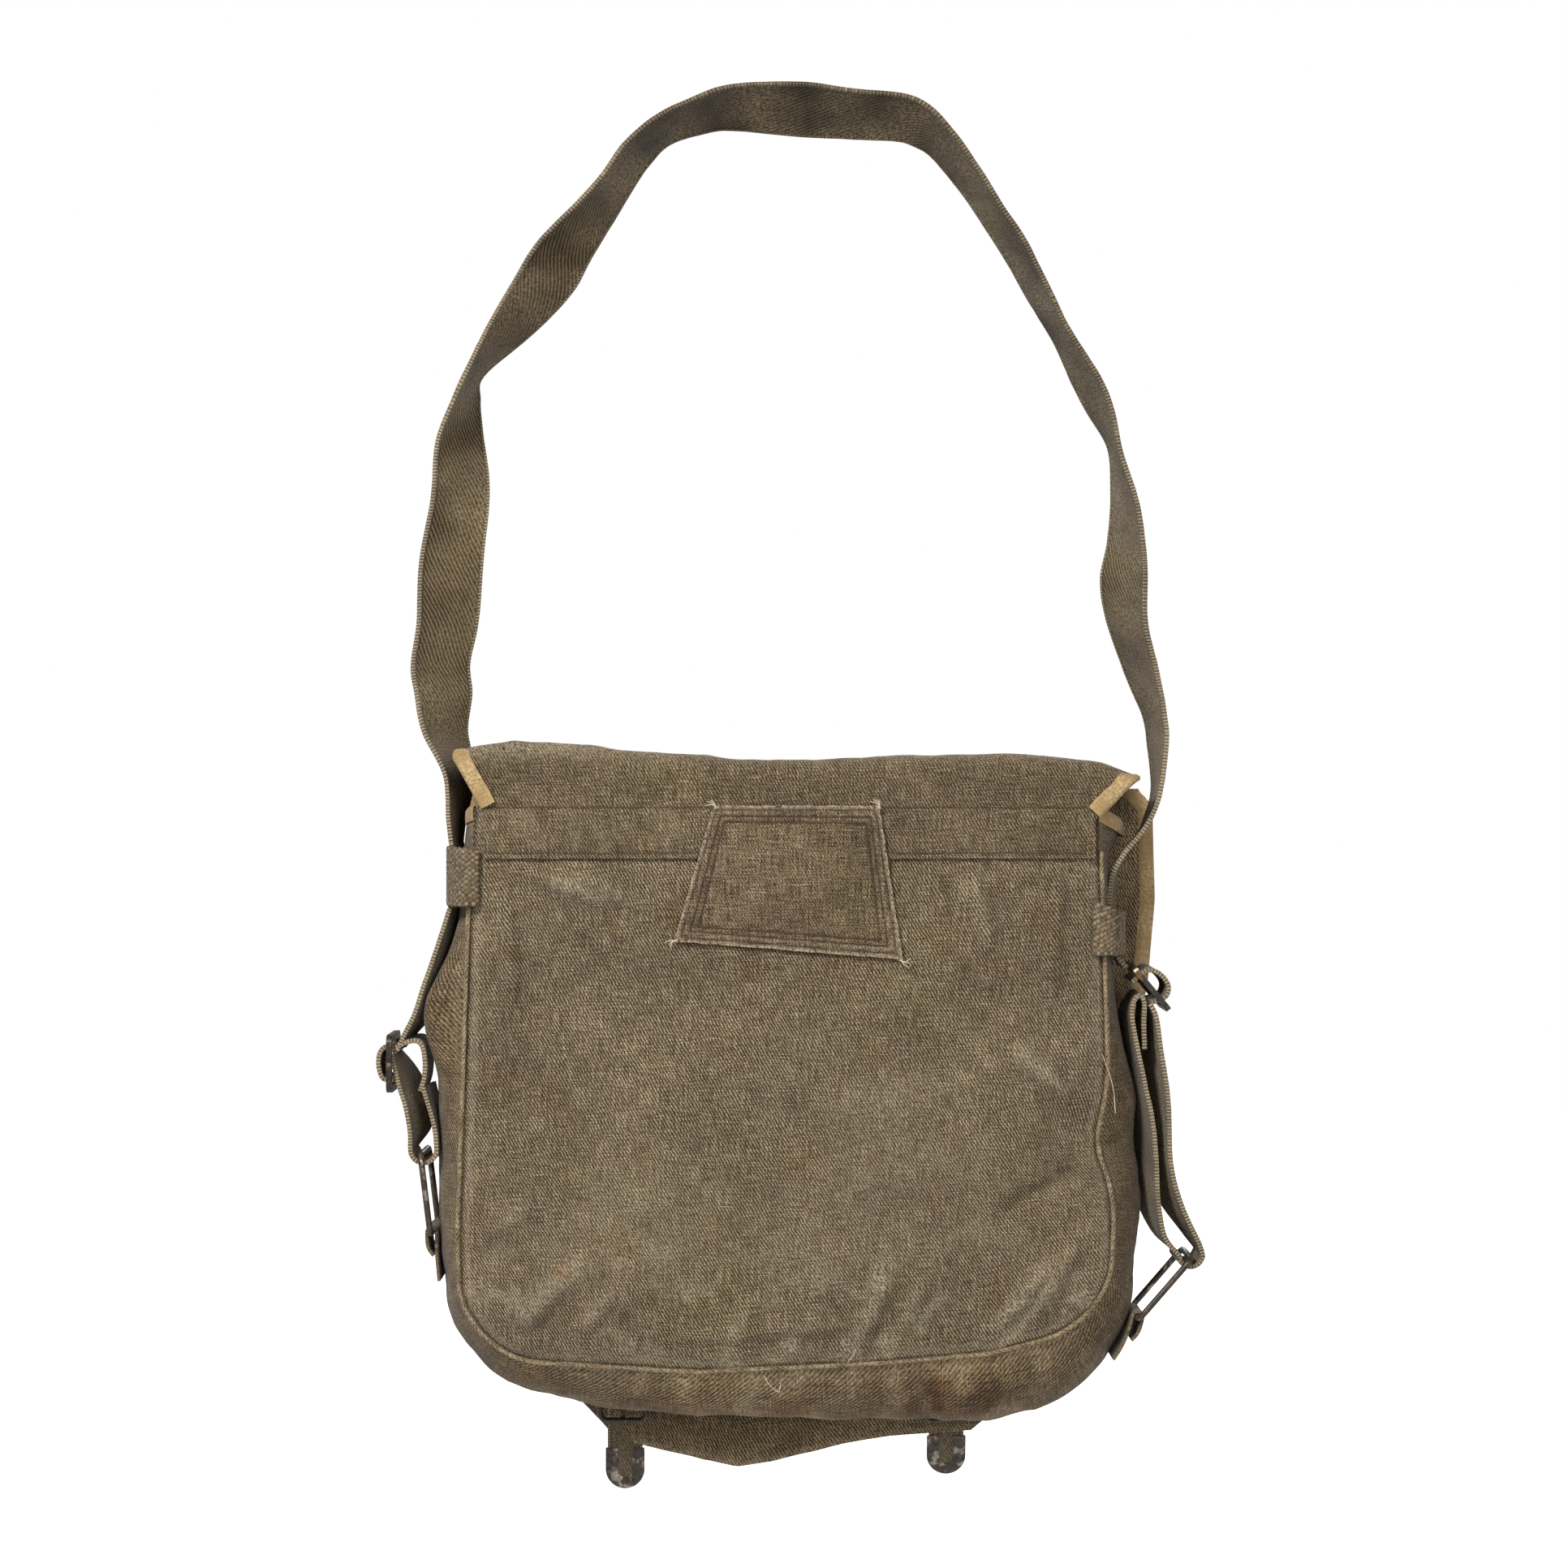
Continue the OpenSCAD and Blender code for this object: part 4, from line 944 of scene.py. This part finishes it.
def strap_edges(station):
    """Both edges of the strap at a station: what its width doesn't show in x and z lies along y."""
    x0, z0, x1, z1 = station
    depth = math.sqrt(max(0, STRAP_W ** 2 - (x0 - x1) ** 2 - (z0 - z1) ** 2))
    y = STRAP_Y * min(1, max(0, -(z0 + z1) / 240))
    return (x0, y - depth / 2, z0), (x1, y + depth / 2, z1)


near, far = (smooth_line([strap_edges(s)[k] for s in STATIONS], 12) for k in (0, 1))
# A little dirt lies all along the strap. It is darker over its upper part; at the very top this is painted
# shade, where its inner face turns away from the light. It is also darker along its right leg, down to the
# keeper.
grime = (0.15 + 0.4 * smoothstep(near[:, 2], -260, -120) + 0.45 * smoothstep(near[:, 2], -50, -10)
         + 0.3 * smoothstep(near[:, 0], 90, 150) * smoothstep(near[:, 2], -400, -320))
strap = band("shoulder_strap_webbing", near, far, webbing, soiled=np.clip(grime, 0, 1)[:, None])
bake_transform(strap)
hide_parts("shoulder_strap")

LEADS = {"left": [(-185.4, -412, 2.4), (-183.4, -424, 1.5), (-183.5, -440, 2), (-187, -450, 5),
                  (-191.5, -464, 8), (-197, -480, 9), (-200.5, -490, 9), (-206, -507, 7), (-212, -519, 3),
                  (-215.5, -527)],
         "right": [(188.5, -416, 4.5), (181.5, -428, 5.5), (179, -442, 6.5), (179.6, -464, 5.5),
                   (184, -475, 2), (189, -481)]}
for side, route in LEADS.items():
    lead = edge_on(f"strap_lead_{side}_webbing", route)
    top, low = (-0.452, -0.515) if side == "left" else (-0.450, -0.474)
    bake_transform(lead)
    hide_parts("strap_lead_" + side)

# ---- Keepers ----
# A short length of ribbed webbing on each side is caught in the back seam, goes round the
# outside of the strap and is sewn down on the gusset, so that the strap stays against the bag.
ribbed = cloth_material("ribbed_webbing", (60, 48, 33), (108, 91, 68), (142, 125, 98), 0.05, 0.0020,
                        0.6, 0.6, 0.8)
KEEPER_LINE = smooth_line([(169, -40.2), (173.5, -41.4), (179, -39.6), (184, -33), (186.6, -25), (187.2, -4),
                           (187, 12), (185, 19), (182, 21), (179.4, 22)], 12)
RIB, RIB_PITCH_Z, RIB_PITCH_RUN = 0.55, 3.0, 3.6
ribs = np.sin(run_along(KEEPER_LINE)[:, None] * math.tau / RIB_PITCH_RUN)
keeper_x, keeper_y = KEEPER_LINE[:, :1], KEEPER_LINE[:, 1:]
way = unit(np.gradient(KEEPER_LINE, axis=0))
for side, sign, top, height, slant in (("left", -1, -414, 32, 0.0), ("right", 1, -443, 30, -0.5)):
    z = np.linspace(top, top - height, 64)[None]
    basket = np.sin(z * math.tau / RIB_PITCH_Z) * ribs
    grid = together(sign * (keeper_x + way[:, 1:] * RIB * basket), keeper_y - way[:, :1] * RIB * basket,
                    z + slant * np.clip(keeper_x - 170, 0, 15) * (1 - (top - z) / height))
    keeper = cloth(f"keeper_{side}_webbing", grid[::-sign], 1.9, ribbed,
                   worn=np.clip(0.15 + 0.7 * basket, 0, 1)[::-sign],
                   soiled=np.clip(0.1 - 0.6 * basket, 0, 1)[::-sign])
    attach(keeper, "bag")
    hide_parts("keeper_" + side)

# ---- Strap ends, sliders and rings ----
# Below each keeper the strap passes a flat enamelled slider, turns round a wire ring on the
# gusset and comes back up. The rings are held by short loops of webbing sewn to the gusset.
RING_WIRE, RING_LEN = 3.4, 44
PIVOTS = {"left": (-196.6, -628), "right": (195.4, -675)}
LEANS = {"left": math.radians(97), "right": math.radians(49)}
SLIDERS = {"left": ((-219.5, -534), math.radians(90), 6), "right": ((202, -492), math.radians(-50), 9)}
BIGHT_LINE = [(-9, -0.6), (-9, 0), (-8, 0.65), (-2, 1), (5, 0.95), (8.8, 0.5), (8.4, 0), (6, -0.6)]
bars = {side: (x + RING_LEN * math.cos(LEANS[side]), z + RING_LEN * math.sin(LEANS[side]))
        for side, (x, z) in PIVOTS.items()}


def arc(cx, cz, radius, start, stop, steps):
    turn = np.radians(np.linspace(start, stop, steps + 1))
    return [(cx + radius * math.cos(a), cz + radius * math.sin(a)) for a in turn]


for side, ((cx, cz), turn, stand) in SLIDERS.items():
    c, s = math.cos(turn), math.sin(turn)
    path = [(cx + a * c - b * stand * s, cz + a * s + b * stand * c) for a, b in BIGHT_LINE]
    bight = edge_on(f"strap_bight_{side}_webbing", path, wide=STRAP_W - 2, per=6)
    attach(bight, "slider_" + side)
    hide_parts("strap_bight_" + side)

bx, bz = bars["left"]
tail = [(-218.5, -529), (-216.5, -538, 6), (-214, -548, 10), (-211, -558, 11), (-208.5, bz + 13, 8)] \
    + arc(bx + 1.2, bz + 2.5, 7.2, 180, 360, 8) \
    + [(bx + 7.6, bz + 13), (-196.5, -562, 2), (-199, -554, 2), (-201, -547, 2)]
piece = edge_on("strap_tail_left_webbing", tail, per=5)
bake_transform(piece)
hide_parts("strap_tail_left")
tongue = edge_on("strap_tongue_left_webbing", [(-216, -525), (-210, -522), (-204.5, -521.5), (-201.2, -525),
                                               (-200, -533), (-200.5, -542), (-202.5, -549)], per=6)
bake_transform(tongue)

bx, bz = bars["right"]
tail = [(202, -501), (205.5, -509, -4), (208, -527, -7), (212, -553, -9), (213.5, -588, -9), (219, -611, -9),
        (bx + 4.5, -633, -3)] + arc(bx, bz + 1.9, 6.8, 0, -180, 8) \
    + [(210, -630, -3), (206.5, -611, -8), (205.5, -588, -8), (203.5, -566, -7), (199, -545, -6),
       (194, -520, -5), (191.8, -507, -3), (193, -499), (196.5, -496), (199, -501), (198.5, -512),
       (198.8, -526)]
piece = edge_on("strap_tail_right_webbing", tail, per=5)
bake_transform(piece)
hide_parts("strap_tail_right")

chape_r = RING_WIRE / 2 + 0.4 + 0.75
lx, lz = PIVOTS["left"]
rx, rz = PIVOTS["right"]
CHAPES = {"left": [(lx + chape_r + 1.2, lz - 27), (lx + chape_r, lz - 12)] + arc(lx, lz, chape_r, 0, 180, 8)
          + [(lx - chape_r + 0.6, lz - 8), (lx + 1, lz - 13)],
          "right": arc(CORNER_X, CORNER_Z, CORNER_R + 13, -38, -18, 3) + arc(rx, rz, chape_r, 172, 0, 8)
          + [(rx + 0.6, rz - 8), (rx - 3.5, rz - 13)]}
for side, route in CHAPES.items():
    chape = edge_on(f"ring_chape_{side}_webbing", route, ribbed, wide=30, thick=1.5, per=4)
    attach(chape, "bag")
    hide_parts("ring_chape_" + side)

# ---- Closing straps and their tips ----
# Two narrow straps are sewn under a patch of webbing inside the flap's lower edge. Each ends in
# a U-shaped steel tip, pressed over the webbing and now bare, dented and spotted with rust.
CLOSURE_X, CLOSURE_W, CLOSURE_TOP, CLOSURE_FREE = 93, 21, -300, 122
HANG_Z = -364
TIP_R = CLOSURE_W / 2 + 0.3


def leaned(x, y, z):
    """A point given as if the flap's front hung straight down, leaned out with it."""
    c, s = math.cos(FLAP_LEAN), math.sin(FLAP_LEAN)
    x, y, z = np.broadcast_arrays(np.asarray(x, float), np.asarray(y, float), np.asarray(z, float))
    return np.stack([x, FOLD_Y + y * c - z * s, HANG_Z + y * s + z * c], -1)


def curled(z):
    """How much of its curl a closing strap has at height z, from 0 to 1 at its tip."""
    return smoothstep(-z, 385, 425)


def metal(name, deep, face, bare, wear, rough, rust):
    """Enamelled or bare steel: dark in the hollows, rubbed bright on some of its faces, with rust."""
    material = bpy.data.materials.new(name)
    material.use_nodes = True
    tree = material.node_tree
    skin = tree.nodes["Principled BSDF"]
    where = put(tree, "TexCoord").outputs["Object"]
    spots = speckle(tree, where, 420.0, 5.0, 0.65)
    rubbed = ramp(tree, speckle(tree, where, 160.0, 4.0, 0.6), 0.62 - wear * 0.3, 0.68 - wear * 0.2)
    colour = mixed(tree, ramp(tree, spots, 0.3, 0.7), tone(*deep), tone(*face))
    colour = mixed(tree, rubbed, colour, tone(*bare))
    rusted = maths(tree, "MULTIPLY", ramp(tree, speckle(tree, where, 260.0, 3.0), 0.56, 0.66), rust)
    shiny = maths(tree, "SUBTRACT", maths(tree, "MULTIPLY", rubbed, 0.9), rusted, True)
    roughened = maths(tree, "ADD", rough, maths(tree, "MULTIPLY", rusted, 0.4), True)
    tree.links.new(mixed(tree, rusted, colour, tone(92, 58, 38)), skin.inputs["Base Color"])
    tree.links.new(shiny, skin.inputs["Metallic"])
    tree.links.new(roughened, skin.inputs["Roughness"])
    relief = put(tree, "Bump", {"Height": spots, "Strength": 0.35, "Distance": 0.0003})
    tree.links.new(relief.outputs[0], skin.inputs["Normal"])
    return material


steel = metal("worn_steel", (40, 33, 27), (84, 74, 63), (166, 157, 146), 0.42, 0.4, 0.6)
wire = metal("worn_wire", (34, 28, 24), (70, 59, 49), (158, 146, 128), 0.22, 0.36, 0.35)
enamel = metal("worn_enamel", (24, 20, 18), (48, 39, 33), (122, 98, 70), 0.2, 0.36, 0.25)

for side, sign, short, curl in (("left", -1, 0.0, -2.0), ("right", 1, 7.0, 5.0)):
    x = sign * CLOSURE_X
    bottom = CLOSURE_TOP - CLOSURE_FREE + 10 + short
    v = np.linspace(CLOSURE_TOP + 4, bottom - 8.4, 60)
    round_end = np.sqrt(np.maximum((CLOSURE_W / 2) ** 2 - (v - bottom) ** 2, 4))
    half = np.where(v > bottom, CLOSURE_W / 2, round_end) - 0.4
    v = v[:, None]
    grid = leaned(x + half[:, None] * ACROSS[None], 2.9 + curl * curled(v), v)
    strap_piece = cloth(f"closure_strap_{side}_webbing", grid, 1.9, narrow_webbing, profile=PLUMP,
                        lay=together((ACROSS * CLOSURE_W / 2)[None], v), worn=0.3, soiled=0.3)
    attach(strap_piece, "closure_" + side)
    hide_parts("closure_strap_" + side)
    rim = np.array([(-TIP_R, 12), (-TIP_R, 8), (-TIP_R, 4), (-TIP_R, 0)]
                   + arc(0, 0, TIP_R, 180, 360, 32)[1:-1] + [(TIP_R, 0), (TIP_R, 4), (TIP_R, 8), (TIP_R, 12)])
    inner = np.array([[p[0] * 0.4, p[1] * 0.42 if p[1] < 0 else p[1]] for p in rim])
    dents = 0.5 * rumple(np.arange(len(rim)), 0, 2.2, 99.0 + sign, 1)
    section = [(1.0, -1.15), (0.75, -1.5), (0.45, -1.6), (0.15, -1.6), (0.0, -1.2), (-0.04, 0.0), (0.0, 1.2),
               (0.15, 1.6), (0.45, 1.6), (0.75, 1.5), (1.0, 1.15)]
    rows = []
    for share, off in section:
        xz = rim + (inner - rim) * share
        z = bottom + xz[:, 1]
        ripple = dents * (0 < share < 0.9) * np.sign(off)
        rows.append(leaned(x + xz[:, 0], 2.9 + off + curl * curled(z) + ripple, z))
    tip = cloth(f"strap_tip_{side}_steel", np.stack(rows, axis=1), 0.5, steel)
    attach(tip, "closure_" + side)
    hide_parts("strap_tip_" + side)
    v = np.linspace(CLOSURE_TOP + 36, CLOSURE_TOP, 20)[:, None]
    grid = leaned(x + (CLOSURE_W / 2 + 1) * ACROSS[None], 2.6 + 0.3 * rumple(v, 0, 6, 97.0), v)
    anchor = cloth(f"closure_anchor_{side}_webbing", grid, 2.0, narrow_webbing, profile=PLUMP,
                   worn=0.3, soiled=0.2)
    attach(anchor, "flap_front")
    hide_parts("closure_anchor_" + side)
    a, top, low = CLOSURE_W / 2 - 1.5, CLOSURE_TOP + 33, CLOSURE_TOP + 4
    box = [leaned(x + np.array([-a, a, a, -a, -a, a]), 3.9, np.array([top, top, low, low, top, low])),
           leaned(x + np.array([a, -a]), 3.9, np.array([top, low]))]
    stitches(f"closure_anchor_{side}_stitches", [box[0][k:k + 2] for k in range(5)] + [box[1]],
             (0, math.cos(FLAP_LEAN), math.sin(FLAP_LEAN)), "flap_front", 2.6, 0.35)

# ---- Wire and plate hardware ----
# Sliders are flat punched frames in brown-black enamel; rings and slider bars are bent wire. Buckles
# and prongs are bent wire too, but take the dark enamel as painted shade, since they lie in the shade
# under the gusset. All keep the shape they were made to and take only their finish here.
for name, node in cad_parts.items():
    kind = name.rsplit("_", 1)[0]
    if kind in ("slider", "ring", "slider_bar", "buckle", "prong"):
        node.data.materials.clear()
        # Buckles and prongs get the dark enamel: painted shade.
        node.data.materials.append(wire if kind in ("ring", "slider_bar") else enamel)
        node.data.set_sharp_from_angle(angle=0.6)

for side, sign in (("left", -1), ("right", 1)):
    x = sign * CLOSURE_X
    bar_z, bar_y, r = SEAM_Z - 14, FRONT_Y + CLOTH_T + 3.2, 2.3
    half = CLOSURE_W / 2 - 2
    line = smooth_line([(bar_y - 1.2, bar_z + 46), (bar_y - 1.2, bar_z + 20), (bar_y - 1.6, bar_z + 6)]
                       + arc(bar_y, bar_z, r, 150, 400, 10), 4)
    for k, (a, b) in enumerate(((-half, -3), (3, half))):
        grid = together((x + np.linspace(a, b, 8))[None, :], line[:, :1], line[:, 1:])
        chape = cloth(f"buckle_chape_{side}_{k}", grid, 1.3, narrow_webbing, worn=0.3, soiled=0.2)
        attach(chape, "bag")
        if k == 0:
            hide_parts("buckle_chape_" + side)

# ---- Finish ----
# The view layer is updated, so that every piece is in place.
bpy.context.view_layer.update()
